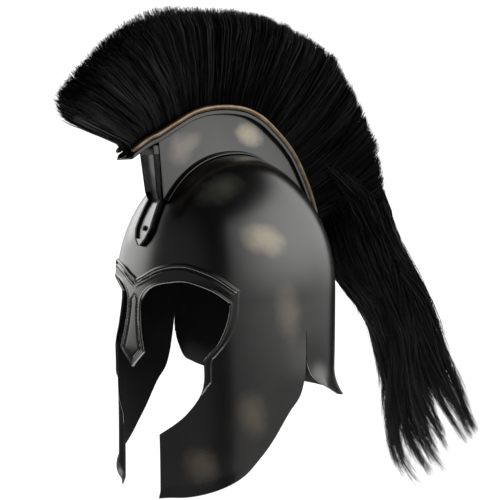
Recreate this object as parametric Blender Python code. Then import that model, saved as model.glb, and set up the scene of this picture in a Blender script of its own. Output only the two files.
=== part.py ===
"""Crested Greek helmet in dark bronze: one sheet shell with fixed cheek guards, nasal and neck
guard, a sheet metal crest holder on the crown, its riveted front bracket and a horsehair plume.

Metres, +Z up. The front of the helmet faces -Y and the wearer's left is +X. The origin is the
inside of the crown, where the helmet sits on the head. X = 0 is the mirror plane of the metal.
"""
import bpy
import bmesh
from math import asin, atan2, cos, floor, hypot, pi, radians, sin
from mathutils import Vector
from mathutils.geometry import delaunay_2d_cdt

# Named sizes
HEIGHT = 0.346
LENGTH = 0.2475
WIDTH = 0.210
WALL = 0.0014
GAP = 0.0005
FOOT_GAP = 0.0010
DOME = 0.149
DOME_POWER_FRONT = 2.2
DOME_POWER_BACK = 1.97
BAND = 0.0014
RIDGE = 0.0028
NASAL_LEAN = 0.0072
NASAL_RUN = 0.070
CHEEK_PROUD = 0.0025
NECK_TUCK = 0.0020
NOTCH_RUN = 0.050
NECK_FLARE = 0.0100
NECK_FLARE_DEPTH = 0.030
CHEEK_LIP = 0.0025
CHEEK_LIP_DEPTH = 0.008
SHEET = 0.0013
FLANGE = 0.0052
PLATE_HALF = 0.0120
TRIM_RADIUS = 0.0028
BRACKET_HALF = 0.0159
BRACKET_RIM = 0.0056
BRACKET_PANEL = 0.0014
PANEL_STEP = 0.0001
RIM_WIDTH = 0.0024
RIVET_HEAD = 0.0029
RIVET_SHANK = 0.0015
RIVET_HOLE = 0.0019
RIVET_CAP = 0.0014
RIVET_TAIL = 0.0012
RIVET_ANGLE = 31.2
TAIL_SET = 0.0010
TAIL_REACH = 0.244
TAIL_HALF_WIDTH = 0.034
TAIL_HALF_DEPTH = 0.026
TAIL_SWING = 26.6

APEX = WALL
EQUATOR = APEX - DOME

# Bowl and guards by height: drop below the apex as a share of HEIGHT, half width as a share of
# WIDTH, reach to the front and to the back as shares of LENGTH, fullness of the plan in front
# and behind
BOWL = (
    (0.4306, 0.4952, 0.5192, 0.4808, 2.25, 2.2),
    (0.5925, 0.5000, 0.5152, 0.4747, 2.30, 2.2),
    (0.7370, 0.5000, 0.4990, 0.4687, 2.40, 2.2),
    (0.8526, 0.4976, 0.4909, 0.4687, 2.50, 2.2),
    (1.0200, 0.4905, 0.4909, 0.4687, 2.60, 2.2),
)

# Edge of the sheet on one side: name, angle from the front in degrees, drop, corner or not
EDGE = (
    ("nasal tip", 0, 0.6185, 1),
    ("nasal widest", 8, 0.5694, 1),
    ("", 7, 0.5462, 0),
    ("", 5.6, 0.5116, 0),
    ("nasal waist", 4.4, 0.4538, 0),
    ("", 5.0, 0.4191, 0),
    ("eye top", 8.6, 0.3931, 0),
    ("", 13, 0.3809, 0),
    ("", 18, 0.3743, 0),
    ("", 25.2, 0.3705, 0),
    ("", 32.6, 0.3827, 0),
    ("", 39.3, 0.4017, 0),
    ("eye outer corner", 45.6, 0.4301, 1),
    ("", 45.2, 0.4595, 0),
    ("", 43.5, 0.4971, 0),
    ("", 40.6, 0.5376, 0),
    ("", 36.7, 0.5665, 0),
    ("cheek corner", 34.1, 0.5861, 1),
    ("", 34.1, 0.6474, 0),
    ("rim end", 31.8, 0.6928, 0),
    ("", 25.8, 0.7419, 0),
    ("", 19.9, 0.7737, 0),
    ("mouth corner", 13.0, 0.8055, 1),
    ("cheek point", 13.2, 0.9884, 1),
    ("cheek bottom", 27, 0.9754, 0),
    ("", 40.5, 0.9523, 0),
    ("", 52, 0.9214, 0),
    ("", 61, 0.8757, 0),
    ("", 68.8, 0.8295, 0),
    ("", 78.8, 0.7590, 0),
    ("", 86.6, 0.7159, 0),
    ("", 90.2, 0.6673, 0),
    ("", 91.8, 0.6165, 0),
    ("notch top", 93.3, 0.5318, 1),
    ("neck front edge", 94.1, 0.6061, 0),
    ("", 96.6, 0.6474, 0),
    ("", 100, 0.6763, 0),
    ("neck corner", 106, 0.7038, 0),
    ("", 118, 0.7384, 0),
    ("", 136, 0.7630, 0),
    ("", 158, 0.7746, 0),
    ("neck bottom", 180, 0.7775, 1),
)
# Raised border: angle, drop
BROW_LINE = (
    (0, 0.3671),
    (5, 0.3526),
    (10, 0.3367),
    (17.1, 0.3237),
    (23, 0.3202),
    (28.5, 0.3243),
    (38.9, 0.3491),
    (50.2, 0.3948),
)
RIDGE_LINE = (
    (0, 0.3844),
    (5, 0.3685),
    (10, 0.3512),
    (17.1, 0.3373),
    (23, 0.3341),
    (28, 0.3382),
    (37.6, 0.3618),
    (47.6, 0.4017),
)
REAR_LINE = (
    (49.9, 0.4286),
    (49.1, 0.4789),
    (45.5, 0.5272),
    (39.8, 0.5723),
    (37.6, 0.5910),
    (37.4, 0.6474),
)
PANEL_LINE = (
    (0, 0.4075),
    (2.5, 0.4277),
    (2.4, 0.4538),
    (3.5, 0.5116),
    (4.7, 0.5462),
    (5.6, 0.5665),
    (0, 0.6012),
)
# Crest holder and brush, from the front to the back: floor of the tray, lip of the tray and
# ends of the hair as (along LENGTH, up HEIGHT), half widths as shares of WIDTH, the sideways
# swing of the hair ends as a share of WIDTH, and whether the plates reach this station
CREST = (
    (-0.5762, -0.0277, -0.5677, -0.0121, 0.0619, -0.8646, 0.0769, 0.0857, 0.000, 0),
    (-0.4968, 0.0080, -0.4945, 0.0223, 0.0690, -0.8364, 0.1549, 0.1190, 0.000, 0),
    (-0.4422, 0.0264, -0.4448, 0.0387, 0.0751, -0.7722, 0.2215, 0.1314, 0.000, 1),
    (-0.3445, 0.0653, -0.3484, 0.0774, 0.0786, -0.6141, 0.3283, 0.1429, 0.000, 1),
    (-0.2632, 0.0943, -0.2674, 0.1064, 0.0786, -0.4606, 0.3977, 0.1476, 0.000, 1),
    (-0.1806, 0.1113, -0.1835, 0.1235, 0.0786, -0.3030, 0.4237, 0.1476, 0.000, 1),
    (-0.0956, 0.1194, -0.0986, 0.1316, 0.0786, -0.1414, 0.4382, 0.1476, 0.000, 1),
    (-0.0162, 0.1202, -0.0162, 0.1327, 0.0786, 0.0202, 0.4497, 0.1476, 0.000, 1),
    (0.0508, 0.1142, 0.0540, 0.1264, 0.0786, 0.1616, 0.4468, 0.1476, 0.000, 1),
    (0.1247, 0.0956, 0.1318, 0.1069, 0.0786, 0.3111, 0.4266, 0.1476, 0.000, 1),
    (0.1951, 0.0651, 0.2057, 0.0749, 0.0786, 0.4768, 0.3977, 0.1476, 0.014, 1),
    (0.2680, 0.0285, 0.2808, 0.0370, 0.0762, 0.6020, 0.3428, 0.1476, 0.038, 1),
    (0.3360, -0.0182, 0.3503, -0.0111, 0.0738, 0.6707, 0.2561, 0.1524, 0.067, 1),
    (0.4030, -0.0869, 0.4175, -0.0800, 0.0714, 0.7273, 0.1723, 0.1571, 0.095, 1),
    (0.4523, -0.1487, 0.4667, -0.1418, 0.0690, 0.7879, 0.0855, 0.1619, 0.114, 1),
    (0.4844, -0.2065, 0.5006, -0.2020, 0.0667, 0.8242, -0.0098, 0.1619, 0.133, 1),
    (0.4975, -0.2643, 0.5148, -0.2633, 0.0643, 0.8404, -0.1139, 0.1571, 0.143, 1),
    (0.4926, -0.3161, 0.5092, -0.3198, 0.0619, 0.8000, -0.2179, 0.1429, 0.152, 1),
)

# Foot of the crest plates: degrees round the dome, from the front
FOOT_FRONT = 44.0
FOOT_BACK = 168.0

# Angles from the front, in degrees, over which each relief fades out or in
NASAL_FADE = (9.0, 20.0)
CHEEK_FADE = (66.0, 90.0)
LIP_FADE = (40.0, 60.0)
TUCK_FADE = (94.0, 120.0)
FLARE_FADE = (93.0, 104.0)

# Front bracket. Stem: along LENGTH, up HEIGHT, shares of BRACKET_HALF and of BRACKET_RIM, panel
# sunk or not. Strap: degrees round the dome, the same shares, panel sunk or not
STEM = (
    (-0.4460, 0.0150, 0.730, 1.00, 0),
    (-0.4413, -0.0085, 0.725, 1.00, 0),
    (-0.4412, -0.0088, 0.725, 1.00, 1),
    (-0.4316, -0.0600, 0.690, 1.00, 1),
    (-0.4216, -0.1140, 0.642, 1.00, 1),
)
STRAP = (
    (44.3, 0.642, 0.85, 1),
    (40.0, 0.700, 0.80, 1),
    (35.5, 0.760, 0.75, 1),
    (30.6, 0.790, 0.75, 1),
    (26.9, 0.580, 0.72, 1),
    (26.4, 0.535, 0.72, 1),
    (26.3, 0.530, 0.72, 0),
    (23.6, 0.160, 0.60, 0),
)

# Tail of the plume, one lock a row: share of TAIL_REACH along the swing, up HEIGHT, share of
# TAIL_HALF_WIDTH, share of TAIL_HALF_DEPTH
LOCKS = (
    ((0.184, 0.000, 0.824, 0.769), (0.299, -0.150, 0.971, 0.923), (0.389, -0.300, 0.912, 0.923),
     (0.574, -0.500, 0.824, 0.885), (0.693, -0.690, 0.794, 0.769), (0.811, -0.850, 0.706, 0.654),
     (0.926, -0.985, 0.353, 0.385), (1.000, -1.052, 0.088, 0.115)),
    ((0.164, -0.030, 0.824, 0.769), (0.287, -0.200, 1.000, 0.962), (0.410, -0.400, 0.941, 1.000),
     (0.516, -0.600, 0.794, 0.962), (0.578, -0.780, 0.559, 0.808), (0.689, -0.950, 0.382, 0.577),
     (0.779, -1.050, 0.235, 0.346), (0.836, -1.110, 0.088, 0.115)),
    ((0.143, -0.060, 0.765, 0.769), (0.238, -0.250, 0.912, 0.962), (0.344, -0.420, 0.882, 1.000),
     (0.475, -0.600, 0.794, 0.962), (0.541, -0.780, 0.676, 0.846), (0.602, -0.950, 0.529, 0.654),
     (0.701, -1.090, 0.294, 0.346), (0.779, -1.160, 0.088, 0.115)),
    ((0.123, -0.100, 0.647, 0.692), (0.184, -0.270, 0.735, 0.846), (0.270, -0.400, 0.735, 0.923),
     (0.393, -0.510, 0.706, 0.923), (0.455, -0.630, 0.647, 0.885), (0.492, -0.770, 0.559, 0.808),
     (0.475, -0.900, 0.559, 0.692), (0.492, -1.040, 0.382, 0.500), (0.561, -1.130, 0.235, 0.308),
     (0.643, -1.198, 0.088, 0.115)),
)


def smooth(low, high, value):
    share = min(max((value - low) / (high - low), 0.0), 1.0)
    return share * share * (3.0 - 2.0 * share)


def row_at(table, x):
    """All columns of a table at x, on a smooth curve through its rows."""
    last = len(table) - 1
    x = min(max(x, table[0][0]), table[last][0])
    i = 0
    while i < last - 1 and x > table[i + 1][0]:
        i += 1
    a = table[i]
    b = table[i + 1]
    before = table[max(i - 1, 0)]
    after = table[min(i + 2, last)]
    step = b[0] - a[0]
    u = (x - a[0]) / step
    out = []
    for k in range(1, len(a)):
        slope_a = (b[k] - before[k]) / (b[0] - before[0]) * step
        slope_b = (after[k] - a[k]) / (after[0] - a[0]) * step
        out.append((2 * u ** 3 - 3 * u * u + 1) * a[k] + (u ** 3 - 2 * u * u + u) * slope_a
                   + (3 * u * u - 2 * u ** 3) * b[k] + (u ** 3 - u * u) * slope_b)
    return out


def section(z):
    """Half width, front and back reach and the two fullnesses of the bowl at height z."""
    lift = min(max((z - EQUATOR) / DOME, 0.0), 1.0)
    front = (1.0 - lift ** DOME_POWER_FRONT) ** (1.0 / DOME_POWER_FRONT)
    back = (1.0 - lift ** DOME_POWER_BACK) ** (1.0 / DOME_POWER_BACK)
    half, ahead, behind, full_front, full_back = row_at(BOWL, (APEX - z) / HEIGHT)
    return (WIDTH * half * 0.5 * (front + back), LENGTH * ahead * front, LENGTH * behind * back,
            2.0 + (full_front - 2.0) * front, 2.0 + (full_back - 2.0) * back)


def base_radius(angle, z):
    half, ahead, behind, full_front, full_back = section(z)
    side = abs(sin(angle))
    fore = cos(angle)
    reach = ahead if fore >= 0.0 else behind
    full = full_front if fore >= 0.0 else full_back
    if half < 1e-9:
        return 0.0
    return ((side / half) ** full + (abs(fore) / reach) ** full) ** (-1.0 / full)


def edge_height(angle, first, last):
    """Height of the sheet's lower edge at an angle, between two named rows of EDGE."""
    names = [row[0] for row in EDGE]
    rows = EDGE[names.index(first):names.index(last) + 1]
    if angle <= rows[0][1]:
        return APEX - rows[0][2] * HEIGHT
    for a, b in zip(rows, rows[1:]):
        if angle <= b[1]:
            share = (angle - a[1]) / (b[1] - a[1])
            return APEX - (a[2] + (b[2] - a[2]) * share) * HEIGHT
    return APEX - rows[-1][2] * HEIGHT


def edge_row(name):
    return next(row for row in EDGE if row[0] == name)


NOTCH_ANGLE = edge_row("notch top")[1]
NOTCH_Z = APEX - edge_row("notch top")[2] * HEIGHT
BROW_Z = APEX - BROW_LINE[0][1] * HEIGHT


def relief(deg, z):
    """How far the sheet stands out from the plain bowl."""
    out = 0.0
    lean = min(max((BROW_Z - z) / NASAL_RUN, 0.0), 1.0) ** 0.8
    out += NASAL_LEAN * lean * (1.0 - smooth(*NASAL_FADE, deg))
    below = smooth(0.0, NOTCH_RUN, NOTCH_Z - z)
    if deg <= NOTCH_ANGLE + 0.3:
        out += CHEEK_PROUD * below * smooth(*CHEEK_FADE, deg)
        rise = z - edge_height(deg, "cheek point", "notch top")
        out += CHEEK_LIP * (1.0 - smooth(0.0, CHEEK_LIP_DEPTH, rise)) * (1.0 - smooth(*LIP_FADE, deg))
    else:
        out -= NECK_TUCK * below * (1.0 - smooth(*TUCK_FADE, deg))
        rise = z - edge_height(deg, "neck corner", "neck bottom")
        share = min(max(1.0 - rise / NECK_FLARE_DEPTH, 0.0), 1.0)
        out += NECK_FLARE * share * share * smooth(*FLARE_FADE, deg)
    return out


def skin(deg, z):
    """Point of the outer face of the sheet."""
    angle = radians(deg)
    r = base_radius(angle, z)
    if z < max(BROW_Z, NOTCH_Z):
        r += relief(deg, z)
    return Vector((r * sin(angle), -r * cos(angle), z))


# The sheet's flat plan is in millimetres: this many to a degree across, and the real height up
PER_DEGREE = 1.9
PLAN_WIDTH = 180.0 * PER_DEGREE
# Spacing of the mesh in the plan: rows, rows near the crown, clear of lines, along edge and lines
MESH_ROW = 14.0
CROWN_ROW = 17.5
MESH_CLEAR = 5.0
EDGE_STEP = 6.5
LINE_STEP = 7.0
# Heights in the plan above which the rows are wider and have half as many points
WIDE_ROWS = 70.0
SPARSE_ROWS = 150.0
# Angle and depth below the nasal at which the raised border's outline is closed in the open air
CLOSING_ANGLE = 20.0
CLOSING_DEPTH = 10.0


def plan(deg, z):
    """Angle and height as millimetres on a flat sheet."""
    if z <= EQUATOR:
        return Vector((deg * PER_DEGREE, (z - EQUATOR) * 1000.0))
    return Vector((deg * PER_DEGREE, 1000.0 * DOME * asin(min((z - EQUATOR) / DOME, 1.0))))


def unplan(a, v):
    if v <= 0.0:
        return a / PER_DEGREE, EQUATOR + v / 1000.0
    return a / PER_DEGREE, EQUATOR + DOME * sin(v / 1000.0 / DOME)


def outer_and_normal(a, v):
    step = 0.5
    lo_a = max(a - step, 0.0)
    hi_a = min(a + step, PLAN_WIDTH)
    across = skin(*unplan(hi_a, v)) - skin(*unplan(lo_a, v))
    up = skin(*unplan(a, v + step)) - skin(*unplan(a, v - step))
    normal = across.cross(up)
    if a < 0.01 or a > PLAN_WIDTH - 0.01:
        normal.x = 0.0
    return skin(*unplan(a, v)), normal.normalized()


def curve(points, corners, spacing):
    """Points on a smooth line through plan points, sharp where a corner is flagged."""
    out = [points[0]]
    last = len(points) - 1
    for i in range(last):
        p1 = points[i]
        p2 = points[i + 1]
        p0 = points[i - 1] if i > 0 and not corners[i] else p1 - (p2 - p1)
        p3 = points[i + 2] if i + 2 <= last and not corners[i + 1] else p2 + (p2 - p1)
        count = max(1, round((p2 - p1).length / spacing))
        for k in range(1, count + 1):
            u = k / count
            out.append(0.5 * (2 * p1 + (p2 - p0) * u + (2 * p0 - 5 * p1 + 4 * p2 - p3) * u * u
                              + (3 * p1 - p0 - 3 * p2 + p3) * u ** 3))
    return out


def plan_points(rows):
    return [plan(deg, APEX - drop * HEIGHT) for deg, drop in rows]


def plan_line(rows):
    corners = [True] + [False] * (len(rows) - 2) + [True]
    return curve(plan_points(rows), corners, LINE_STEP)


def inside(point, polygon):
    x, y = point
    odd = False
    for p, q in zip(polygon, polygon[1:] + polygon[:1]):
        if (p[1] > y) != (q[1] > y) and x < p[0] + (y - p[1]) / (q[1] - p[1]) * (q[0] - p[0]):
            odd = not odd
    return odd


def distance(point, line):
    best = 1e9
    for p, q in zip(line, line[1:]):
        run = q - p
        u = min(max((point - p).dot(run) / max(run.length_squared, 1e-12), 0.0), 1.0)
        best = min(best, (point - p - run * u).length)
    return best


def new_object(name, bm):
    bmesh.ops.recalc_face_normals(bm, faces=bm.faces)
    bmesh.ops.triangulate(bm, faces=bm.faces, quad_method="BEAUTY", ngon_method="EAR_CLIP")
    mesh = bpy.data.meshes.new(name)
    bm.to_mesh(mesh)
    bm.free()
    obj = bpy.data.objects.new(name, mesh)
    bpy.context.scene.collection.objects.link(obj)
    return obj


def combine(target, other, operation):
    """Boolean of two objects, left in the first one."""
    modifier = target.modifiers.new("combine", "BOOLEAN")
    modifier.operation = operation
    modifier.solver = "EXACT"
    modifier.object = other
    graph = bpy.context.evaluated_depsgraph_get()
    mesh = bpy.data.meshes.new_from_object(target.evaluated_get(graph))
    target.modifiers.clear()
    old = target.data
    target.data = mesh
    bpy.data.meshes.remove(old)
    bpy.data.objects.remove(other)
    mesh.name = target.name
    return target


def loft(bm, rings):
    """Closed solid through rings of points."""
    loops = [[bm.verts.new(p) for p in ring] for ring in rings]
    for a, b in zip(loops, loops[1:]):
        for i in range(len(a)):
            k = (i + 1) % len(a)
            bm.faces.new((a[i], a[k], b[k], b[i]))
    bm.faces.new(loops[0][::-1])
    bm.faces.new(loops[-1])


def make_shell():
    top = 1000.0 * DOME * pi / 2 - MESH_ROW
    width = PLAN_WIDTH
    edge = plan_points([row[1:3] for row in EDGE])
    edge_line = curve(edge, [bool(row[3]) for row in EDGE], EDGE_STEP)
    brow = plan_line(BROW_LINE)
    ridge = plan_line(RIDGE_LINE)
    rim_end = edge[EDGE.index(edge_row("rim end"))]
    rear = curve(plan_points(BROW_LINE[-1:] + REAR_LINE) + [rim_end],
                 [True] + [False] * (len(REAR_LINE) - 1) + [True, True], LINE_STEP)
    panel = plan_points(PANEL_LINE)
    ridge_end = [brow[-1], ridge[-1]]

    seam_rows = []
    v = MESH_ROW * floor(min(p[1] for p in edge) / MESH_ROW)
    while v < top - MESH_CLEAR:
        seam_rows.append(v)
        v += MESH_ROW if v < WIDE_ROWS else CROWN_ROW
    nasal_foot = edge_line[0][1]
    back_foot = edge_line[-1][1]
    outline = [Vector((0.0, top))]
    outline += [Vector((0.0, v)) for v in reversed(seam_rows) if v > nasal_foot + MESH_CLEAR]
    outline += edge_line
    outline += [Vector((width, v)) for v in seam_rows if v > back_foot + MESH_CLEAR]
    outline += [Vector((width * k / 12, top)) for k in range(12, 0, -1)]
    lines = [outline + [outline[0]], brow, ridge, rear, panel, ridge_end]
    points = []
    edges = []
    for line in lines:
        closed = line is lines[0]
        start = len(points)
        body = line[:-1] if closed else line
        points += body
        for i in range(len(body) - 1):
            edges.append((start + i, start + i + 1))
        if closed:
            edges.append((start + len(body) - 1, start))
    for row, v in enumerate(seam_rows):
        columns = 24 if v < SPARSE_ROWS else 12
        for k in range(1, columns):
            p = Vector((width * (k + (0.5 if row % 2 and columns == 24 and k < columns - 1 else 0.0))
                        / columns, v))
            if inside(p, outline) and min(distance(p, line) for line in lines) > MESH_CLEAR:
                points.append(p)
    verts, _, faces, _, _, _ = delaunay_2d_cdt(points, edges, [], 0, 1e-4)
    verts = [Vector((min(max(p[0], 0.0), width), p[1])) for p in verts]
    near = []
    for i, p in enumerate(verts):
        twin = next((k for k in range(i) if near[k] == k and (verts[k] - p).length < 0.05), i)
        near.append(twin)

    aside = CLOSING_ANGLE * PER_DEGREE
    under = nasal_foot - CLOSING_DEPTH
    band_area = brow + rear[1:] + [Vector((aside, rim_end[1])), Vector((aside, under)), Vector((0.0, under))]
    ridge_area = brow + ridge[::-1]
    panel_area = panel + [Vector((-1.0, panel[-1][1])), Vector((-1.0, panel[0][1]))]
    heights = {0: 0.0, 1: BAND, 2: RIDGE}
    kept = []
    for face in faces:
        for k in range(1, len(face) - 1):
            tri = (near[face[0]], near[face[k]], near[face[k + 1]])
            if len(set(tri)) < 3:
                continue
            middle = (verts[tri[0]] + verts[tri[1]] + verts[tri[2]]) / 3
            area = (verts[tri[1]] - verts[tri[0]]).cross(verts[tri[2]] - verts[tri[0]])
            if abs(area) < 1e-6 or not inside(middle, outline):
                continue
            level = 0
            if inside(middle, ridge_area):
                level = 2
            elif inside(middle, band_area) and not inside(middle, panel_area):
                level = 1
            kept.append((tri, level))

    levels = {}
    use = {}
    for tri, level in kept:
        for i in range(3):
            levels.setdefault(tri[i], set()).add(level)
            pair = (tri[i], tri[(i + 1) % 3])
            use.setdefault(tuple(sorted(pair)), []).append(level)
    frames = {i: outer_and_normal(verts[i][0], verts[i][1]) for i in levels}

    bm = bmesh.new()
    store = {}

    def vertex(point):
        key = tuple(round(c * 1e7) for c in point)
        if key not in store:
            store[key] = bm.verts.new(point)
        return store[key]

    def place(i, level, sign):
        point, normal = frames[i]
        height = -WALL if level is None else heights[level]
        p = point + normal * height
        return vertex(Vector((0.0 if abs(p.x) < 1e-8 else p.x * sign, p.y, p.z)))

    def wall(i, k, low, high, sign):
        between = [None, 0, 1, 2]
        order = between[between.index(low):between.index(high) + 1]
        left = [place(i, n, sign) for n in order if n in (low, high) or n in levels[i]]
        right = [place(k, n, sign) for n in order if n in (low, high) or n in levels[k]]
        while len(left) > 1 or len(right) > 1:
            if len(left) >= len(right):
                bm.faces.new((left[0], left[1], right[0]))
                left.pop(0)
            else:
                bm.faces.new((left[0], right[1], right[0]))
                right.pop(0)

    for sign in (1.0, -1.0):
        for tri, level in kept:
            bm.faces.new([place(i, level, sign) for i in tri])
            bm.faces.new([place(i, None, sign) for i in reversed(tri)])
        for (i, k), used in use.items():
            p = verts[i]
            q = verts[k]
            if len(used) == 2:
                if used[0] != used[1]:
                    wall(i, k, min(used), max(used), sign)
                continue
            on_seam = (max(p[0], q[0]) < 0.01) or (min(p[0], q[0]) > width - 0.01)
            if on_seam:
                continue
            if min(p[1], q[1]) > top - 0.01:
                bm.faces.new((place(i, 0, sign), place(k, 0, sign), vertex(Vector((0, 0, APEX)))))
                bm.faces.new((place(k, None, sign), place(i, None, sign), vertex(Vector((0, 0, 0)))))
                continue
            wall(i, k, None, used[0], sign)
    return new_object("helmet_shell", bm)


def dome_point(x, deg, gap):
    """Point on the dome in a plane of constant x, at degrees round from the front."""
    a = radians(deg)
    low = 0.2 * DOME
    high = LENGTH
    for _ in range(40):
        mid = 0.5 * (low + high)
        y = -mid * cos(a)
        z = EQUATOR + mid * sin(a)
        if z >= APEX:
            high = mid
            continue
        if hypot(x, y) < base_radius(atan2(abs(x), -y), z):
            low = mid
        else:
            high = mid
    return Vector((x, -(low + gap) * cos(a), EQUATOR + (low + gap) * sin(a)))


def crest_rows():
    """Crest stations as floor, lip, half width, hair end, hair half width, swing."""
    out = []
    for fy, fz, ly, lz, half, ty, tz, spread, swing, _ in CREST:
        out.append((Vector((0, fy * LENGTH, fz * HEIGHT)), Vector((0, ly * LENGTH, lz * HEIGHT)),
                    half * WIDTH, Vector((0, ty * LENGTH, tz * HEIGHT)), spread * WIDTH, swing * WIDTH))
    return out


def make_holder():
    rows = crest_rows()
    tray = bmesh.new()
    rings = []
    for floor, lip, half, _, _, _ in rows:
        up = (lip - floor).normalized()
        side = Vector((1, 0, 0))
        inner = half - SHEET
        bed = floor + up * SHEET
        rings.append([lip + side * half, floor + side * half, floor - side * half, lip - side * half,
                      lip - side * inner, bed - side * inner, bed + side * inner, lip + side * inner])
    loft(tray, rings)
    tray_object = new_object("tray", tray)

    plates = bmesh.new()
    use = [row for row, listed in zip(rows, CREST) if listed[-1]]
    run = [0.0]
    for a, b in zip(use, use[1:]):
        run.append(run[-1] + (b[0] - a[0]).length)
    rings = []
    for (floor, lip, half, _, _, _), along in zip(use, run):
        deg = FOOT_FRONT + (FOOT_BACK - FOOT_FRONT) * along / run[-1]
        up = (lip - floor).normalized()
        head = floor + up * SHEET * 0.5
        wide = min(PLATE_HALF, half - 1.15 * SHEET)
        ring = []
        for sign in (1.0, -1.0):
            flange = wide + FLANGE
            foot_out = dome_point(flange * sign, deg, FOOT_GAP)
            foot_top = dome_point(flange * sign, deg, FOOT_GAP + SHEET)
            knee = dome_point(wide * sign, deg, FOOT_GAP + SHEET * 1.6)
            foot_in = dome_point((wide - SHEET) * sign, deg, FOOT_GAP)
            crown = head + Vector((wide * sign, 0, 0))
            under = head - up * SHEET + Vector(((wide - SHEET) * sign, 0, 0))
            part = [under, foot_in, foot_out, foot_top, knee, crown]
            ring.append(part)
        rings.append(ring[0] + ring[1][::-1])
    loft(plates, rings)
    plates_object = new_object("plates", plates)
    holder = combine(plates_object, tray_object, "UNION")
    holder.name = "crest_holder"
    holder.data.name = "crest_holder"
    return holder


def make_trims():
    rows = crest_rows()
    for name, sign in (("lip_trim_left", 1.0), ("lip_trim_right", -1.0)):
        bm = bmesh.new()
        lips = [row[1] for row in rows]
        centre = []
        for i, row in enumerate(rows):
            ahead = (lips[min(i + 1, len(rows) - 1)] - lips[max(i - 1, 0)]).normalized()
            rise = Vector((1, 0, 0)).cross(ahead).normalized()
            centre.append(lips[i] + rise * (TRIM_RADIUS * 1.05 + GAP)
                          + Vector((sign * (row[2] - SHEET * 0.5), 0, 0)))
        rings = []
        for i, point in enumerate(centre):
            ahead = (centre[min(i + 1, len(centre) - 1)] - centre[max(i - 1, 0)]).normalized()
            side = Vector((1, 0, 0))
            rise = side.cross(ahead).normalized()
            rings.append([point + (side * cos(k * pi / 3) + rise * sin(k * pi / 3)) * TRIM_RADIUS
                          for k in range(6)])
        loft(bm, rings)
        new_object(name, bm)


def bracket_stations():
    """Back line, forward direction, half width, rim height and panel height of each station."""
    out = []
    for y, z, share, rim, sunk in STEM:
        height = rim * BRACKET_RIM
        panel = BRACKET_PANEL if sunk else height - PANEL_STEP
        out.append(["stem", Vector((0, y * LENGTH, z * HEIGHT)), share * BRACKET_HALF, height, panel])
    for deg, share, rim, sunk in STRAP:
        height = rim * BRACKET_RIM
        panel = BRACKET_PANEL if sunk else height - PANEL_STEP
        out.append(["strap", deg, share * BRACKET_HALF, height, panel])
    centres = [row[1] if row[0] == "stem" else dome_point(0.0, row[1], GAP) for row in out]
    result = []
    for i, row in enumerate(out):
        run = (centres[min(i + 1, len(out) - 1)] - centres[max(i - 1, 0)]).normalized()
        front = run.cross(Vector((1, 0, 0))).normalized()
        if front.y > 0:
            front = -front
        result.append((row[0], row[1], centres[i], front, row[2], row[3], row[4]))
    return result


def make_bracket():
    bm = bmesh.new()
    rings = []
    for kind, where, centre, front, half, rim, panel in bracket_stations():
        inner = half - RIM_WIDTH
        ring = []
        for x, height in ((-half, 0.0), (0.0, 0.0), (half, 0.0), (half, rim), (inner, rim),
                          (inner, panel), (-inner, panel), (-inner, rim), (-half, rim)):
            if kind == "strap":
                back = dome_point(x, where, GAP)
            else:
                back = centre + Vector((x, 0, 0))
            ring.append(back + front * height)
        rings.append(ring)
    loft(bm, rings)
    return new_object("front_bracket", bm)


def cylinder(bm, start, end, radius, sides=10):
    axis = (end - start).normalized()
    side = axis.cross(Vector((1, 0, 0))).normalized()
    other = axis.cross(side)
    turns = [(k + 0.3) * 2 * pi / sides for k in range(sides)]
    rings = [[p + side * (radius * cos(a)) + other * (radius * sin(a)) for a in turns]
             for p in (start, end)]
    loft(bm, rings)


def make_rivet(shell, bracket):
    seat = dome_point(0.0, RIVET_ANGLE, 0.0)
    near = dome_point(0.0, RIVET_ANGLE + 1.0, 0.0) - dome_point(0.0, RIVET_ANGLE - 1.0, 0.0)
    axis = near.cross(Vector((1, 0, 0))).normalized()
    if axis.y > 0:
        axis = -axis
    side = Vector((1, 0, 0))
    other = axis.cross(side)
    panel = GAP + BRACKET_PANEL + GAP
    lining = -WALL - GAP
    profile = ((lining - RIVET_TAIL, RIVET_HEAD), (lining, RIVET_HEAD), (lining, RIVET_SHANK),
               (panel, RIVET_SHANK), (panel, RIVET_HEAD), (panel + RIVET_CAP * 0.65, RIVET_HEAD * 0.8),
               (panel + RIVET_CAP, RIVET_HEAD * 0.35))
    bm = bmesh.new()
    rings = [[seat + axis * h + side * (r * cos(k * pi / 5)) + other * (r * sin(k * pi / 5))
              for k in range(10)] for h, r in profile]
    loft(bm, rings)
    new_object("bracket_rivet", bm)
    for target in (shell, bracket):
        drill = bmesh.new()
        cylinder(drill, seat - axis * 4.0 * WALL, seat + axis * (GAP + 2.5 * BRACKET_RIM), RIVET_HOLE)
        name = target.name
        combine(target, new_object("drill", drill), "DIFFERENCE")
        target.name = name
        target.data.name = name


def hair_ring(floor, lip, half, tip, spread, swing, length):
    up = (lip - floor).normalized()
    base = floor + up * (SHEET + GAP)
    clear = lip + up * (2.05 * TRIM_RADIUS + 2.0 * GAP)
    tip = clear + (tip - clear) * length
    narrow = half - 0.5 * SHEET - TRIM_RADIUS - 1.3 * GAP
    ring = []
    waist = narrow + (spread - narrow) * 0.6
    levels = ((base, narrow, 0.0), (clear, narrow, 0.0), (clear.lerp(tip, 0.35), waist, 0.35),
              (clear.lerp(tip, 0.8), spread, 0.8), (tip, spread * 0.55, 1.0))
    for sign in (1.0, -1.0):
        part = [p + Vector((sign * w + swing * s * length, 0, 0)) for p, w, s in levels]
        ring += part if sign > 0 else part[::-1]
    return ring


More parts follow.
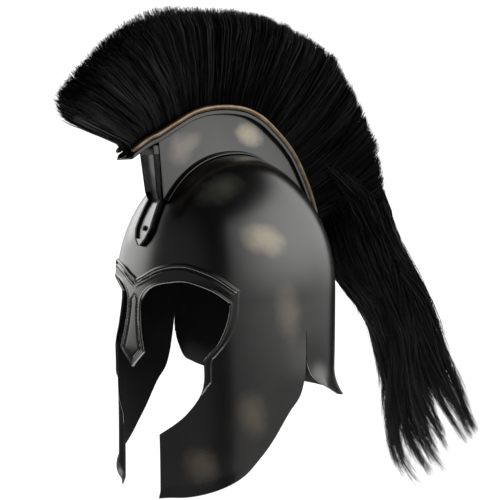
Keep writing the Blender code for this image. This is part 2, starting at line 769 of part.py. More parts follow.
def make_plume():
    rows = crest_rows()
    rings = []
    for i in range(len(rows) - 1):
        a = rows[i]
        b = rows[i + 1]
        rings.append(hair_ring(*a, 1.0))
        middle = [(p + q) * 0.5 for p, q in zip(a, b)]
        rings.append(hair_ring(*middle, 0.955))
    rings.append(hair_ring(*rows[-1], 1.0))
    bm = bmesh.new()
    loft(bm, rings)
    plume = new_object("horsehair_plume", bm)
    swing = radians(TAIL_SWING)
    start = rows[-1][0].y + TAIL_SET
    for lock in LOCKS:
        centres = [Vector((d * TAIL_REACH * sin(swing), start + d * TAIL_REACH * cos(swing), z * HEIGHT))
                   for d, z, _, _ in lock]
        rings = []
        for i, (_, _, wide_share, deep_share) in enumerate(lock):
            wide = wide_share * TAIL_HALF_WIDTH
            thick = deep_share * TAIL_HALF_DEPTH
            run = (centres[min(i + 1, len(lock) - 1)] - centres[max(i - 1, 0)]).normalized()
            side = Vector((cos(swing), -sin(swing), 0))
            out = side.cross(run).normalized()
            rings.append([centres[i] + out * (wide * cos(k * pi / 4)) + side * (thick * sin(k * pi / 4))
                          for k in range(8)])
        strand = bmesh.new()
        loft(strand, rings)
        plume = combine(plume, new_object("lock", strand), "UNION")
    plume.name = "horsehair_plume"
    plume.data.name = "horsehair_plume"
    return plume


for item in list(bpy.data.objects):
    bpy.data.objects.remove(item)

shell = make_shell()
make_holder()
make_trims()
bracket = make_bracket()
make_rivet(shell, bracket)
make_plume()
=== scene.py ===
"""Looks of the crested Greek helmet: fine metal surfaces, worn finishes, loose horsehair, camera,
light and floor. Metres, +Z up, the front of the helmet faces -Y, the wearer's left is +X."""
from math import cos, floor, pi, radians, sin

import bmesh
import bpy
import numpy as np
from mathutils import Matrix, Vector
from mathutils.geometry import delaunay_2d_cdt


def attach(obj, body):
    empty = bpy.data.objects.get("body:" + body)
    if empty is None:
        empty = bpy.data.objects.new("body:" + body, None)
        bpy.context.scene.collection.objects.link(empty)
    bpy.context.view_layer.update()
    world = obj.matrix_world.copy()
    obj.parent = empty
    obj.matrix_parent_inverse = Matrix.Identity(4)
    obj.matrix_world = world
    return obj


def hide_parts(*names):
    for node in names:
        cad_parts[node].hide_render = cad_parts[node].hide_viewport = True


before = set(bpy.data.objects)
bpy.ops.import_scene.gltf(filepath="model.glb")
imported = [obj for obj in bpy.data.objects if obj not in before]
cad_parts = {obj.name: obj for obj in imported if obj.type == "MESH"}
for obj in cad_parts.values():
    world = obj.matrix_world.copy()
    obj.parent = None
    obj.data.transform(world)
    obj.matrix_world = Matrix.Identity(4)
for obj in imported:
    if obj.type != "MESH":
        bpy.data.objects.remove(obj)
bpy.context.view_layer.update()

# Named sizes of the metal, the same as in the solids
HEIGHT = 0.346
LENGTH = 0.2475
WIDTH = 0.210
WALL = 0.0014
GAP = 0.0005
FOOT_GAP = 0.0010
DOME = 0.149
DOME_POWER_FRONT = 2.2
DOME_POWER_BACK = 1.97
NASAL_LEAN = 0.0072
NASAL_RUN = 0.070
CHEEK_PROUD = 0.0025
NECK_TUCK = 0.0020
NOTCH_RUN = 0.050
NECK_FLARE = 0.0100
NECK_FLARE_DEPTH = 0.030
CHEEK_LIP = 0.0025
CHEEK_LIP_DEPTH = 0.008
SHEET = 0.0013
FLANGE = 0.0052
PLATE_HALF = 0.0120
TRIM_RADIUS = 0.0028
BRACKET_HALF = 0.0159
BRACKET_RIM = 0.0056
BRACKET_PANEL = 0.0014
PANEL_STEP = 0.0001
RIM_WIDTH = 0.0024
RIVET_HEAD = 0.0029
RIVET_SHANK = 0.0015
RIVET_CAP = 0.0014
RIVET_TAIL = 0.0012
RIVET_ANGLE = 31.2
TAIL_SET = 0.0010
TAIL_REACH = 0.244
TAIL_HALF_WIDTH = 0.034
TAIL_HALF_DEPTH = 0.026
TAIL_SWING = 26.6

APEX = WALL
EQUATOR = APEX - DOME

# Bowl and guards by height: drop below the apex as a share of HEIGHT, half width as a share of
# WIDTH, reach to the front and to the back as shares of LENGTH, fullness of the plan in front
# and behind
BOWL = (
    (0.4306, 0.4952, 0.5192, 0.4808, 2.25, 2.2),
    (0.5925, 0.5000, 0.5152, 0.4747, 2.30, 2.2),
    (0.7370, 0.5000, 0.4990, 0.4687, 2.40, 2.2),
    (0.8526, 0.4976, 0.4909, 0.4687, 2.50, 2.2),
    (1.0200, 0.4905, 0.4909, 0.4687, 2.60, 2.2),
)
# Edge of the sheet on one side: name, angle from the front in degrees, drop, corner or not
EDGE = (
    ("nasal tip", 0, 0.6185, 1),
    ("nasal widest", 8, 0.5694, 1),
    ("", 7, 0.5462, 0),
    ("", 5.6, 0.5116, 0),
    ("nasal waist", 4.4, 0.4538, 0),
    ("", 5.0, 0.4191, 0),
    ("eye top", 8.6, 0.3931, 0),
    ("", 13, 0.3809, 0),
    ("", 18, 0.3743, 0),
    ("", 25.2, 0.3705, 0),
    ("", 32.6, 0.3827, 0),
    ("", 39.3, 0.4017, 0),
    ("eye outer corner", 45.6, 0.4301, 1),
    ("", 45.2, 0.4595, 0),
    ("", 43.5, 0.4971, 0),
    ("", 40.6, 0.5376, 0),
    ("", 36.7, 0.5665, 0),
    ("cheek corner", 34.1, 0.5861, 1),
    ("", 34.1, 0.6474, 0),
    ("rim end", 31.8, 0.6928, 0),
    ("", 25.8, 0.7419, 0),
    ("", 19.9, 0.7737, 0),
    ("mouth corner", 13.0, 0.8055, 1),
    ("cheek point", 13.2, 0.9884, 1),
    ("cheek bottom", 27, 0.9754, 0),
    ("", 40.5, 0.9523, 0),
    ("", 52, 0.9214, 0),
    ("", 61, 0.8757, 0),
    ("", 68.8, 0.8295, 0),
    ("", 78.8, 0.7590, 0),
    ("", 86.6, 0.7159, 0),
    ("", 90.2, 0.6673, 0),
    ("", 91.8, 0.6165, 0),
    ("notch top", 93.3, 0.5318, 1),
    ("neck front edge", 94.1, 0.6061, 0),
    ("", 96.6, 0.6474, 0),
    ("", 100, 0.6763, 0),
    ("neck corner", 106, 0.7038, 0),
    ("", 118, 0.7384, 0),
    ("", 136, 0.7630, 0),
    ("", 158, 0.7746, 0),
    ("neck bottom", 180, 0.7775, 1),
)
# Raised border: angle, drop
BROW_LINE = (
    (0, 0.3671),
    (5, 0.3526),
    (10, 0.3367),
    (17.1, 0.3237),
    (23, 0.3202),
    (28.5, 0.3243),
    (38.9, 0.3491),
    (50.2, 0.3948),
)
RIDGE_END = (47.6, 0.4017)
REAR_LINE = (
    (49.9, 0.4286),
    (49.1, 0.4789),
    (45.5, 0.5272),
    (39.8, 0.5723),
    (37.6, 0.5910),
    (37.4, 0.6474),
)
PANEL_LINE = (
    (0, 0.4075),
    (2.5, 0.4277),
    (2.4, 0.4538),
    (3.5, 0.5116),
    (4.7, 0.5462),
    (5.6, 0.5665),
    (0, 0.6012),
)
# Crest holder and brush, from the front to the back: floor of the tray, lip of the tray and
# ends of the hair as (along LENGTH, up HEIGHT), half widths as shares of WIDTH, the sideways
# swing of the hair ends as a share of WIDTH, and whether the plates reach this station
CREST = (
    (-0.5762, -0.0277, -0.5677, -0.0121, 0.0619, -0.8646, 0.0769, 0.0857, 0.000, 0),
    (-0.4968, 0.0080, -0.4945, 0.0223, 0.0690, -0.8364, 0.1549, 0.1190, 0.000, 0),
    (-0.4422, 0.0264, -0.4448, 0.0387, 0.0751, -0.7722, 0.2215, 0.1314, 0.000, 1),
    (-0.3445, 0.0653, -0.3484, 0.0774, 0.0786, -0.6141, 0.3283, 0.1429, 0.000, 1),
    (-0.2632, 0.0943, -0.2674, 0.1064, 0.0786, -0.4606, 0.3977, 0.1476, 0.000, 1),
    (-0.1806, 0.1113, -0.1835, 0.1235, 0.0786, -0.3030, 0.4237, 0.1476, 0.000, 1),
    (-0.0956, 0.1194, -0.0986, 0.1316, 0.0786, -0.1414, 0.4382, 0.1476, 0.000, 1),
    (-0.0162, 0.1202, -0.0162, 0.1327, 0.0786, 0.0202, 0.4497, 0.1476, 0.000, 1),
    (0.0508, 0.1142, 0.0540, 0.1264, 0.0786, 0.1616, 0.4468, 0.1476, 0.000, 1),
    (0.1247, 0.0956, 0.1318, 0.1069, 0.0786, 0.3111, 0.4266, 0.1476, 0.000, 1),
    (0.1951, 0.0651, 0.2057, 0.0749, 0.0786, 0.4768, 0.3977, 0.1476, 0.014, 1),
    (0.2680, 0.0285, 0.2808, 0.0370, 0.0762, 0.6020, 0.3428, 0.1476, 0.038, 1),
    (0.3360, -0.0182, 0.3503, -0.0111, 0.0738, 0.6707, 0.2561, 0.1524, 0.067, 1),
    (0.4030, -0.0869, 0.4175, -0.0800, 0.0714, 0.7273, 0.1723, 0.1571, 0.095, 1),
    (0.4523, -0.1487, 0.4667, -0.1418, 0.0690, 0.7879, 0.0855, 0.1619, 0.114, 1),
    (0.4844, -0.2065, 0.5006, -0.2020, 0.0667, 0.8242, -0.0098, 0.1619, 0.133, 1),
    (0.4975, -0.2643, 0.5148, -0.2633, 0.0643, 0.8404, -0.1139, 0.1571, 0.143, 1),
    (0.4926, -0.3161, 0.5092, -0.3198, 0.0619, 0.8000, -0.2179, 0.1429, 0.152, 1),
)
STATIONS = len(CREST) - 1
FIRST_PLATE = [row[-1] for row in CREST].index(1)
CREST_BY_NUMBER = [(number,) + row[:-1] for number, row in enumerate(CREST)]
FOOT_FRONT = 44.0
FOOT_BACK = 168.0
# Front bracket. Stem: along LENGTH, up HEIGHT, shares of BRACKET_HALF and of BRACKET_RIM, panel
# sunk or not. Strap: degrees round the dome, the same shares, panel sunk or not
STEM = (
    (-0.4460, 0.0150, 0.730, 1.00, 0),
    (-0.4413, -0.0085, 0.725, 1.00, 0),
    (-0.4412, -0.0088, 0.725, 1.00, 1),
    (-0.4316, -0.0600, 0.690, 1.00, 1),
    (-0.4216, -0.1140, 0.642, 1.00, 1),
)
STRAP = (
    (44.3, 0.642, 0.85, 1),
    (40.0, 0.700, 0.80, 1),
    (35.5, 0.760, 0.75, 1),
    (30.6, 0.790, 0.75, 1),
    (26.9, 0.580, 0.72, 1),
    (26.4, 0.535, 0.72, 1),
    (26.3, 0.530, 0.72, 0),
    (23.6, 0.160, 0.60, 0),
)
# Tail of the plume, one lock a row: share of TAIL_REACH along the swing, up HEIGHT, share of
# TAIL_HALF_WIDTH, share of TAIL_HALF_DEPTH
LOCKS = (
    ((0.184, 0.000, 0.824, 0.769), (0.299, -0.150, 0.971, 0.923), (0.389, -0.300, 0.912, 0.923),
     (0.574, -0.500, 0.824, 0.885), (0.693, -0.690, 0.794, 0.769), (0.811, -0.850, 0.706, 0.654),
     (0.926, -0.985, 0.353, 0.385), (1.000, -1.052, 0.088, 0.115)),
    ((0.164, -0.030, 0.824, 0.769), (0.287, -0.200, 1.000, 0.962), (0.410, -0.400, 0.941, 1.000),
     (0.516, -0.600, 0.794, 0.962), (0.578, -0.780, 0.559, 0.808), (0.689, -0.950, 0.382, 0.577),
     (0.779, -1.050, 0.235, 0.346), (0.836, -1.110, 0.088, 0.115)),
    ((0.143, -0.060, 0.765, 0.769), (0.238, -0.250, 0.912, 0.962), (0.344, -0.420, 0.882, 1.000),
     (0.475, -0.600, 0.794, 0.962), (0.541, -0.780, 0.676, 0.846), (0.602, -0.950, 0.529, 0.654),
     (0.701, -1.090, 0.294, 0.346), (0.779, -1.160, 0.088, 0.115)),
    ((0.123, -0.100, 0.647, 0.692), (0.184, -0.270, 0.735, 0.846), (0.270, -0.400, 0.735, 0.923),
     (0.393, -0.510, 0.706, 0.923), (0.455, -0.630, 0.647, 0.885), (0.492, -0.770, 0.559, 0.808),
     (0.475, -0.900, 0.559, 0.692), (0.492, -1.040, 0.382, 0.500), (0.561, -1.130, 0.235, 0.308),
     (0.643, -1.198, 0.088, 0.115)),
)

# Angles from the front, in degrees, over which each relief fades out or in
NASAL_FADE = (9.0, 20.0)
CHEEK_FADE = (66.0, 90.0)
LIP_FADE = (40.0, 60.0)
TUCK_FADE = (94.0, 120.0)
FLARE_FADE = (93.0, 104.0)

# Height of the raised border over the bowl, in mm, by the distance in from its outline, in mm:
# a rounded ridge, a groove and a second ridge over the eye, a plain band beside it
BROW_PROFILE = ((-1.7, 0.0), (-1.0, 0.0), (-0.4, 0.0), (0.0, 0.2), (0.4, 1.9), (1.1, 2.65), (2.2, 2.8),
                (3.2, 2.6), (3.9, 1.9), (4.4, 0.6), (5.0, 0.3), (5.6, 0.6), (6.1, 1.7), (6.9, 2.1),
                (7.8, 1.8), (8.7, 1.45), (9.6, 1.4))
REAR_PROFILE = ((-1.7, 0.0), (-1.0, 0.0), (-0.4, 0.0), (0.0, 0.2), (0.5, 1.1), (1.1, 1.4), (1.8, 1.4))
RIM_PROFILE = ((0.0, 0.0), (0.35, 0.35), (0.9, 0.6), (1.5, 0.45), (2.1, 0.0), (2.8, 0.0))
# The nasal by the distance in from its sunk panel's outline: bead, channel and panel
PANEL_PROFILE = ((-2.0, 1.3), (-1.3, 1.5), (-0.7, 1.6), (-0.1, 1.3), (0.3, 0.3), (0.7, 0.0), (1.0, 0.1),
                 (1.4, 0.8), (2.0, 1.05), (3.0, 1.1))
EDGE_ROUND = 0.35

ACROSS = np.array([1.0, 0.0, 0.0])


def smooth(low, high, value):
    share = np.clip((value - low) / (high - low), 0.0, 1.0)
    return share * share * (3.0 - 2.0 * share)


def rows_at(table, x):
    """Columns of a table at the values x, on a smooth curve through its rows."""
    rows = np.array(table, float)
    last = len(rows) - 1
    x = np.clip(np.atleast_1d(np.asarray(x, float)), rows[0, 0], rows[last, 0])
    i = np.clip(np.searchsorted(rows[:, 0], x) - 1, 0, last - 1)
    a = rows[i]
    b = rows[i + 1]
    before = rows[np.maximum(i - 1, 0)]
    after = rows[np.minimum(i + 2, last)]
    step = (b[:, 0] - a[:, 0])[:, None]
    u = (x[:, None] - a[:, :1]) / step
    slope_a = (b - before) / (b[:, :1] - before[:, :1]) * step
    slope_b = (after - a) / (after[:, :1] - a[:, :1]) * step
    out = ((2 * u ** 3 - 3 * u * u + 1) * a + (u ** 3 - 2 * u * u + u) * slope_a
           + (3 * u * u - 2 * u ** 3) * b + (u ** 3 - u * u) * slope_b)
    return out[:, 1:]


def base_radius(angle, z):
    """Distance of the plain bowl from the axis."""
    lift = np.clip((z - EQUATOR) / DOME, 0.0, 1.0)
    front = (1.0 - lift ** DOME_POWER_FRONT) ** (1.0 / DOME_POWER_FRONT)
    back = (1.0 - lift ** DOME_POWER_BACK) ** (1.0 / DOME_POWER_BACK)
    half, ahead, behind, full_front, full_back = rows_at(BOWL, (APEX - z) / HEIGHT).T
    fore = np.cos(angle)
    full = np.where(fore >= 0.0, 2.0 + (full_front - 2.0) * front, 2.0 + (full_back - 2.0) * back)
    half = np.maximum(WIDTH * half * 0.5 * (front + back), 1e-9)
    reach = np.maximum(np.where(fore >= 0.0, LENGTH * ahead * front, LENGTH * behind * back), 1e-9)
    return ((np.abs(np.sin(angle)) / half) ** full + (np.abs(fore) / reach) ** full) ** (-1.0 / full)


def edge_height(deg, first, last):
    """Height of the sheet's lower edge at each angle, between two named rows of EDGE."""
    names = [row[0] for row in EDGE]
    rows = EDGE[names.index(first):names.index(last) + 1]
    return APEX - HEIGHT * np.interp(deg, [row[1] for row in rows], [row[2] for row in rows])


def edge_row(name):
    return next(row for row in EDGE if row[0] == name)


NOTCH_ANGLE = edge_row("notch top")[1]
NOTCH_Z = APEX - edge_row("notch top")[2] * HEIGHT
BROW_Z = APEX - BROW_LINE[0][1] * HEIGHT


def relief(deg, z):
    """How far the sheet stands out from the plain bowl."""
    lean = np.clip((BROW_Z - z) / NASAL_RUN, 0.0, 1.0) ** 0.8
    out = NASAL_LEAN * lean * (1.0 - smooth(*NASAL_FADE, deg))
    below = smooth(0.0, NOTCH_RUN, NOTCH_Z - z)
    rise = z - edge_height(deg, "cheek point", "notch top")
    cheek = CHEEK_PROUD * below * smooth(*CHEEK_FADE, deg)
    cheek += CHEEK_LIP * (1.0 - smooth(0.0, CHEEK_LIP_DEPTH, rise)) * (1.0 - smooth(*LIP_FADE, deg))
    rise = z - edge_height(deg, "neck corner", "neck bottom")
    share = np.clip(1.0 - rise / NECK_FLARE_DEPTH, 0.0, 1.0)
    neck = NECK_FLARE * share * share * smooth(*FLARE_FADE, deg)
    neck -= NECK_TUCK * below * (1.0 - smooth(*TUCK_FADE, deg))
    return out + np.where(deg <= NOTCH_ANGLE + 0.3, cheek, neck)


def skin(deg, z):
    """Points of the outer face of the sheet, without the raised border."""
    angle = np.radians(deg)
    r = base_radius(angle, z)
    r = r + np.where(z < max(BROW_Z, NOTCH_Z), relief(deg, z), 0.0)
    return np.stack([r * np.sin(angle), -r * np.cos(angle), z], axis=1)


# The sheet's flat plan is in millimetres: this many to a degree across, and the real height up
PER_DEGREE = 1.9
PLAN_WIDTH = 180.0 * PER_DEGREE


def plan(rows):
    """Rows of (degrees, drop) as points of the flat plan."""
    rows = np.array(rows, float)
    z = APEX - rows[:, 1] * HEIGHT
    lift = np.clip((z - EQUATOR) / DOME, 0.0, 1.0)
    v = np.where(z <= EQUATOR, (z - EQUATOR) * 1000.0, 1000.0 * DOME * np.arcsin(lift))
    return np.stack([rows[:, 0] * PER_DEGREE, v], axis=1)


def unplan(a, v):
    z = np.where(v <= 0.0, EQUATOR + v / 1000.0, EQUATOR + DOME * np.sin(v / 1000.0 / DOME))
    return a / PER_DEGREE, z


def on_seam(a):
    """Whether plan points are on the helmet's middle plane."""
    return (a < 0.01) | (a > PLAN_WIDTH - 0.01)


def outer_and_normal(points):
    """Points of the plain sheet and their normals, for points of the plan."""
    a, v = points.T
    step = 0.5
    ahead = skin(*unplan(np.minimum(a + step, PLAN_WIDTH), v))
    behind = skin(*unplan(np.maximum(a - step, 0.0), v))
    up = skin(*unplan(a, v + step)) - skin(*unplan(a, v - step))
    normal = np.cross(ahead - behind, up)
    normal[on_seam(a), 0] = 0.0
    normal /= np.linalg.norm(normal, axis=1, keepdims=True)
    return skin(*unplan(a, v)), normal


def curve(points, corners, spacing):
    """Points on a smooth line through plan points, sharp where a corner is flagged."""
    points = np.asarray(points, float)
    out = [points[0]]
    last = len(points) - 1
    for i in range(last):
        p1 = points[i]
        p2 = points[i + 1]
        p0 = points[i - 1] if i > 0 and not corners[i] else p1 - (p2 - p1)
        p3 = points[i + 2] if i + 2 <= last and not corners[i + 1] else p2 + (p2 - p1)
        count = max(1, round(np.linalg.norm(p2 - p1) / spacing))
        for k in range(1, count + 1):
            u = k / count
            out.append(0.5 * (2 * p1 + (p2 - p0) * u + (2 * p0 - 5 * p1 + 4 * p2 - p3) * u * u
                              + (3 * p1 - p0 - 3 * p2 + p3) * u ** 3))
    return np.array(out)


def inside(points, polygon):
    """Which points are in a polygon."""
    odd = np.zeros(len(points), bool)
    x, y = points.T
    for p, q in zip(polygon, np.roll(polygon, -1, axis=0)):
        if p[1] == q[1]:
            continue
        odd ^= ((p[1] > y) != (q[1] > y)) & (x < p[0] + (y - p[1]) / (q[1] - p[1]) * (q[0] - p[0]))
    return odd


def distance(points, line):
    """Distance of each point from a line of straight runs."""
    best = np.full(len(points), 1e9)
    for p, q in zip(line, line[1:]):
        run = q - p
        u = np.clip(((points - p) @ run) / max(run @ run, 1e-12), 0.0, 1.0)
        best = np.minimum(best, np.linalg.norm(points - p - u[:, None] * run, axis=1))
    return best


def beside(line, offset):
    """The line moved sideways, to its left when offset is positive."""
    run = np.gradient(line, axis=0)
    run /= np.maximum(np.linalg.norm(run, axis=1, keepdims=True), 1e-9)
    return line + offset * np.stack([-run[:, 1], run[:, 0]], axis=1)


# Cells in which near points are looked for, in mm: wider than any distance that is asked for
CELL = 2.5


def thin(layers):
    """Points of the layers in turn, each clear of the earlier ones by its layer's distance."""
    cells = {}
    kept = []
    for points, clear in layers:
        for x, y in points:
            cx = floor(x / CELL)
            cy = floor(y / CELL)
            near = (kept[k] for i in (-1, 0, 1) for j in (-1, 0, 1)
                    for k in cells.get((cx + i, cy + j), ()))
            if clear > 0.0 and any((p - x) ** 2 + (q - y) ** 2 < clear * clear for p, q in near):
                continue
            cells.setdefault((cx, cy), []).append(len(kept))
            kept.append((x, y))
    return np.array(kept)


def link(obj):
    bpy.context.scene.collection.objects.link(obj)
    return obj


def mesh_object(name, vertices, faces, materials, face_materials=None):
    """Object from arrays of vertices and of faces that all have as many corners."""
    vertices = np.asarray(vertices, np.float32)
    faces = np.asarray(faces, np.int32)
    corners = faces.shape[1]
    mesh = bpy.data.meshes.new(name)
    mesh.vertices.add(len(vertices))
    mesh.vertices.foreach_set("co", vertices.ravel())
    mesh.loops.add(faces.size)
    mesh.loops.foreach_set("vertex_index", faces.ravel())
    mesh.polygons.add(len(faces))
    mesh.polygons.foreach_set("loop_start", np.arange(0, faces.size, corners, dtype=np.int32))
    mesh.polygons.foreach_set("loop_total", np.full(len(faces), corners, np.int32))
    for material in materials:
        mesh.materials.append(material)
    if face_materials is not None:
        mesh.polygons.foreach_set("material_index", np.asarray(face_materials, np.int32))
    mesh.polygons.foreach_set("use_smooth", np.full(len(faces), True))
    mesh.update(calc_edges=True)
    mesh.validate()
    return link(bpy.data.objects.new(name, mesh))


# Shell: steps of the points on its plan, in mm, and the rings that follow its edge

EDGE_STEP = 1.8
STRIP_STEP = 1.7
FILL_STEP = 4.4
CROWN_RING = 2.5
CROWN_COUNT = 12
EDGE_RINGS = (0.12, EDGE_ROUND, 0.8, 1.4)
# The border's band closes below the nasal, this far round in degrees and this far down in mm
BAND_ANGLE = 20.0
BAND_DROP = 10.0


def sharp_ended(points):
    """A line through plan points whose last knot is a corner."""
    return curve(points, [False] * (len(points) - 2) + [True, True], STRIP_STEP)


def make_shell(metal, inner_face):
    top = 1000.0 * DOME * pi / 2 - CROWN_RING
    edge_line = curve(plan([row[1:3] for row in EDGE]), [bool(row[3]) for row in EDGE], EDGE_STEP)
    brow = curve(plan(BROW_LINE), [False] * len(BROW_LINE), STRIP_STEP)
    rim_end = plan([edge_row("rim end")[1:3]])[0]
    rear = sharp_ended(np.vstack([plan(BROW_LINE[-1:] + REAR_LINE), rim_end]))
    panel = sharp_ended(plan(PANEL_LINE))
    corner = plan([RIDGE_END])[0]

    seam = np.arange(edge_line[0, 1], top, FILL_STEP)[1:-1]
    back = np.arange(edge_line[-1, 1], top, FILL_STEP)[1:-1]
    share = np.arange(CROWN_COUNT, -1, -1) / CROWN_COUNT
    crown = np.stack([PLAN_WIDTH * share, np.full(CROWN_COUNT + 1, top)], axis=1)
    outline = np.vstack([edge_line, np.stack([np.full(len(back), PLAN_WIDTH), back], axis=1), crown,
                         np.stack([np.zeros(len(seam)), seam[::-1]], axis=1)])
    under = edge_line[0, 1] - BAND_DROP
    aside = BAND_ANGLE * PER_DEGREE
    band = np.vstack([brow, rear[1:], [(aside, rim_end[1]), (aside, under), (0.0, under)]])
    sunk = np.vstack([panel, [(-1.0, panel[-1, 1]), (-1.0, panel[0, 1])]])

    strips = [beside(brow, -d) for d, _ in BROW_PROFILE]
    strips += [beside(rear, -d) for d, _ in REAR_PROFILE]
    strips += [beside(panel, d * s) for d, _ in PANEL_PROFILE for s in (1, -1)]
    rims = [beside(edge_line, d * s) for d in EDGE_RINGS for s in (1, -1)]
    bead = np.vstack([beside(edge_line, d * s) for d, _ in RIM_PROFILE[2:] for s in (1, -1)])
    bead = bead[inside(bead, band)]
    rows = []
    v = edge_line[:, 1].min()
    while v < top - 2.0:
        shrink = cos(min(max(v, 0.0) / 1000.0 / DOME, 1.5))
        step = FILL_STEP / max(shrink, 0.05)
        shift = 0.5 * step * (len(rows) % 2)
        a = np.arange(shift + 0.5 * step, PLAN_WIDTH - 0.4 * step, step)
        rows.append(np.stack([a, np.full(len(a), v)], axis=1))
        v += FILL_STEP * 0.87
    fill = np.vstack(rows)
    fine = fill[inside(fill, band)]
    fine = np.vstack([fine, fine + (FILL_STEP / 2, 0.0)])
    layers = [(np.vstack(rims), 0.2), (bead, 0.35), (np.vstack(strips), 0.35), (fine, 1.6), (fill, 2.0)]
    ready = []
    for points, clear in layers:
        points = points[inside(points, outline)]
        margin = 0.1 if clear < 0.3 else 0.3
        ready.append((points[distance(points, np.vstack([outline, outline[:1]])) > margin], clear))
    points = thin([(outline, 0.0)] + ready)
    count = len(outline)
    edges = [(i, (i + 1) % count) for i in range(count)]
    verts, _, faces, _, _, _ = delaunay_2d_cdt([Vector(p) for p in points], edges, [], 0, 1e-4)
    verts = np.array([tuple(p) for p in verts])
    faces = np.array([f for f in faces if len(f) == 3])
    middle = verts[faces].mean(axis=1)
    p, q, r = (verts[faces[:, k]] for k in range(3))
    area = (q[:, 0] - p[:, 0]) * (r[:, 1] - p[:, 1]) - (q[:, 1] - p[:, 1]) * (r[:, 0] - p[:, 0])
    faces = faces[inside(middle, outline) & (np.abs(area) > 1e-6)]

    from_brow = distance(verts, brow)
    from_rear = distance(verts, rear)
    from_edge = distance(verts, edge_line)
    from_panel = distance(verts, panel)
    in_band = inside(verts, band) | (from_rear < 1e-6) | (from_brow < 1e-6)
    sign = np.where(in_band, 1.0, -1.0)
    along = corner - brow[-1]
    away = verts - brow[-1]
    past = (away[:, 0] * along[1] - away[:, 1] * along[0]) / np.linalg.norm(along)
    eye = np.interp(sign * from_brow, *zip(*BROW_PROFILE))
    side = np.interp(sign * from_rear, *zip(*REAR_PROFILE))
    beyond = smooth(-0.4, 0.5, past if past[from_rear.argmin()] >= -1.0 else -past)
    height = np.where(in_band, eye * (1.0 - beyond) + side * beyond, np.clip(eye, 0.0, 0.3))
    height += np.where(in_band, np.interp(from_edge, *zip(*RIM_PROFILE)), 0.0)
    depth = np.where(inside(verts, sunk), from_panel, -from_panel)
    panelled = np.interp(depth, *zip(*PANEL_PROFILE))
    height = np.where(depth > PANEL_PROFILE[1][0], panelled, height)
    rounding = np.clip(1.0 - from_edge / EDGE_ROUND, 0.0, 1.0)
    rounding = EDGE_ROUND * (1.0 - np.sqrt(1.0 - rounding * rounding))

    base, normal = outer_and_normal(verts)
    outer = base + normal * ((height - rounding) / 1000.0)[:, None]
    inner = base - normal * (WALL - rounding / 1000.0)[:, None]
    seam_mask = on_seam(verts[:, 0])
    outer[seam_mask, 0] = 0.0
    inner[seam_mask, 0] = 0.0

    n = len(verts)
    used = {}
    for tri in faces:
        for i in range(3):
            pair = (int(tri[i]), int(tri[(i + 1) % 3]))
            used.setdefault(tuple(sorted(pair)), []).append(pair)
    rim_quads = []
    fans = []
    for pair, found in used.items():
        if len(found) > 1:
            continue
        i, k = found[0]
        if seam_mask[i] and seam_mask[k] and abs(verts[i, 0] - verts[k, 0]) < 0.02:
            continue
        if min(verts[i, 1], verts[k, 1]) > top - 0.01:
            fans.append((i, k))
        else:
            rim_quads.append((i, k))
    apex_outer = 2 * n
    apex_inner = 2 * n + 1
    half = []
    kind = []
    for tri in faces:
        half.append(tuple(tri))
        kind.append(0)
        half.append(tuple(t + n for t in tri[::-1]))
        kind.append(1)
    for i, k in rim_quads:
        half += [(k, i, i + n), (k, i + n, k + n)]
        kind += [0, 0]
    for i, k in fans:
        half += [(k, i, apex_outer), (i + n, k + n, apex_inner)]
        kind += [0, 1]
    half = np.array(half)
    vertices = np.vstack([outer, inner, [(0.0, 0.0, APEX), (0.0, 0.0, 0.0)]])
    mirrored = vertices * (-1.0, 1.0, 1.0)
    total = len(vertices)
    shared = np.concatenate([seam_mask, seam_mask, [True, True]])
    twin = np.where(shared, np.arange(total), total + np.cumsum(~shared) - 1)
    all_faces = np.vstack([half, twin[half][:, ::-1]])
    all_vertices = np.vstack([vertices, mirrored[~shared]])
    # The plan's triangles may run either way round: make them face out
    tri = all_vertices[half[0]]
    if np.dot(np.cross(tri[1] - tri[0], tri[2] - tri[0]), normal[half[0][0]]) < 0.0:
        all_faces = all_faces[:, ::-1]
    # Inner faces take the second material, near-black painted shade
    return mesh_object("shell_metal", all_vertices, all_faces, (metal, inner_face), np.tile(kind, 2))


# Crest holder, trims, bracket and rivet

def dome_points(x, deg, gap):
    """Points on the dome in planes of constant x, at degrees round from the front."""
    x, deg, gap = np.broadcast_arrays(*(np.asarray(value, float) for value in (x, deg, gap)))
    a = np.radians(deg)
    low = np.full(x.shape, 0.2 * DOME)
    high = np.full(x.shape, LENGTH)
    for _ in range(40):
        mid = 0.5 * (low + high)
        y = -mid * np.cos(a)
        z = EQUATOR + mid * np.sin(a)
        bowl = base_radius(np.arctan2(np.abs(x), -y).ravel(), np.minimum(z, APEX).ravel())
        within = (np.hypot(x, y) < bowl.reshape(x.shape)) & (z < APEX)
        low = np.where(within, mid, low)
        high = np.where(within, high, mid)
    return np.stack([x, -(low + gap) * np.cos(a), EQUATOR + (low + gap) * np.sin(a)], axis=-1)


def crest_at(number):
    """Floor, lip, half width, hair end, hair half width and swing at fractional station numbers."""
    cols = rows_at(CREST_BY_NUMBER, number)
    zero = np.zeros(len(cols))
    floor_point = np.stack([zero, cols[:, 0] * LENGTH, cols[:, 1] * HEIGHT], axis=1)
    lip = np.stack([zero, cols[:, 2] * LENGTH, cols[:, 3] * HEIGHT], axis=1)
    tip = np.stack([zero, cols[:, 5] * LENGTH, cols[:, 6] * HEIGHT], axis=1)
    return floor_point, lip, cols[:, 4] * WIDTH, tip, cols[:, 7] * WIDTH, cols[:, 8] * WIDTH


def unit(vectors):
    return vectors / np.maximum(np.linalg.norm(vectors, axis=-1, keepdims=True), 1e-12)


def circle(count):
    """Cosines and sines of equal steps round a circle."""
    turn = np.arange(count) * 2 * pi / count
    return np.cos(turn), np.sin(turn)


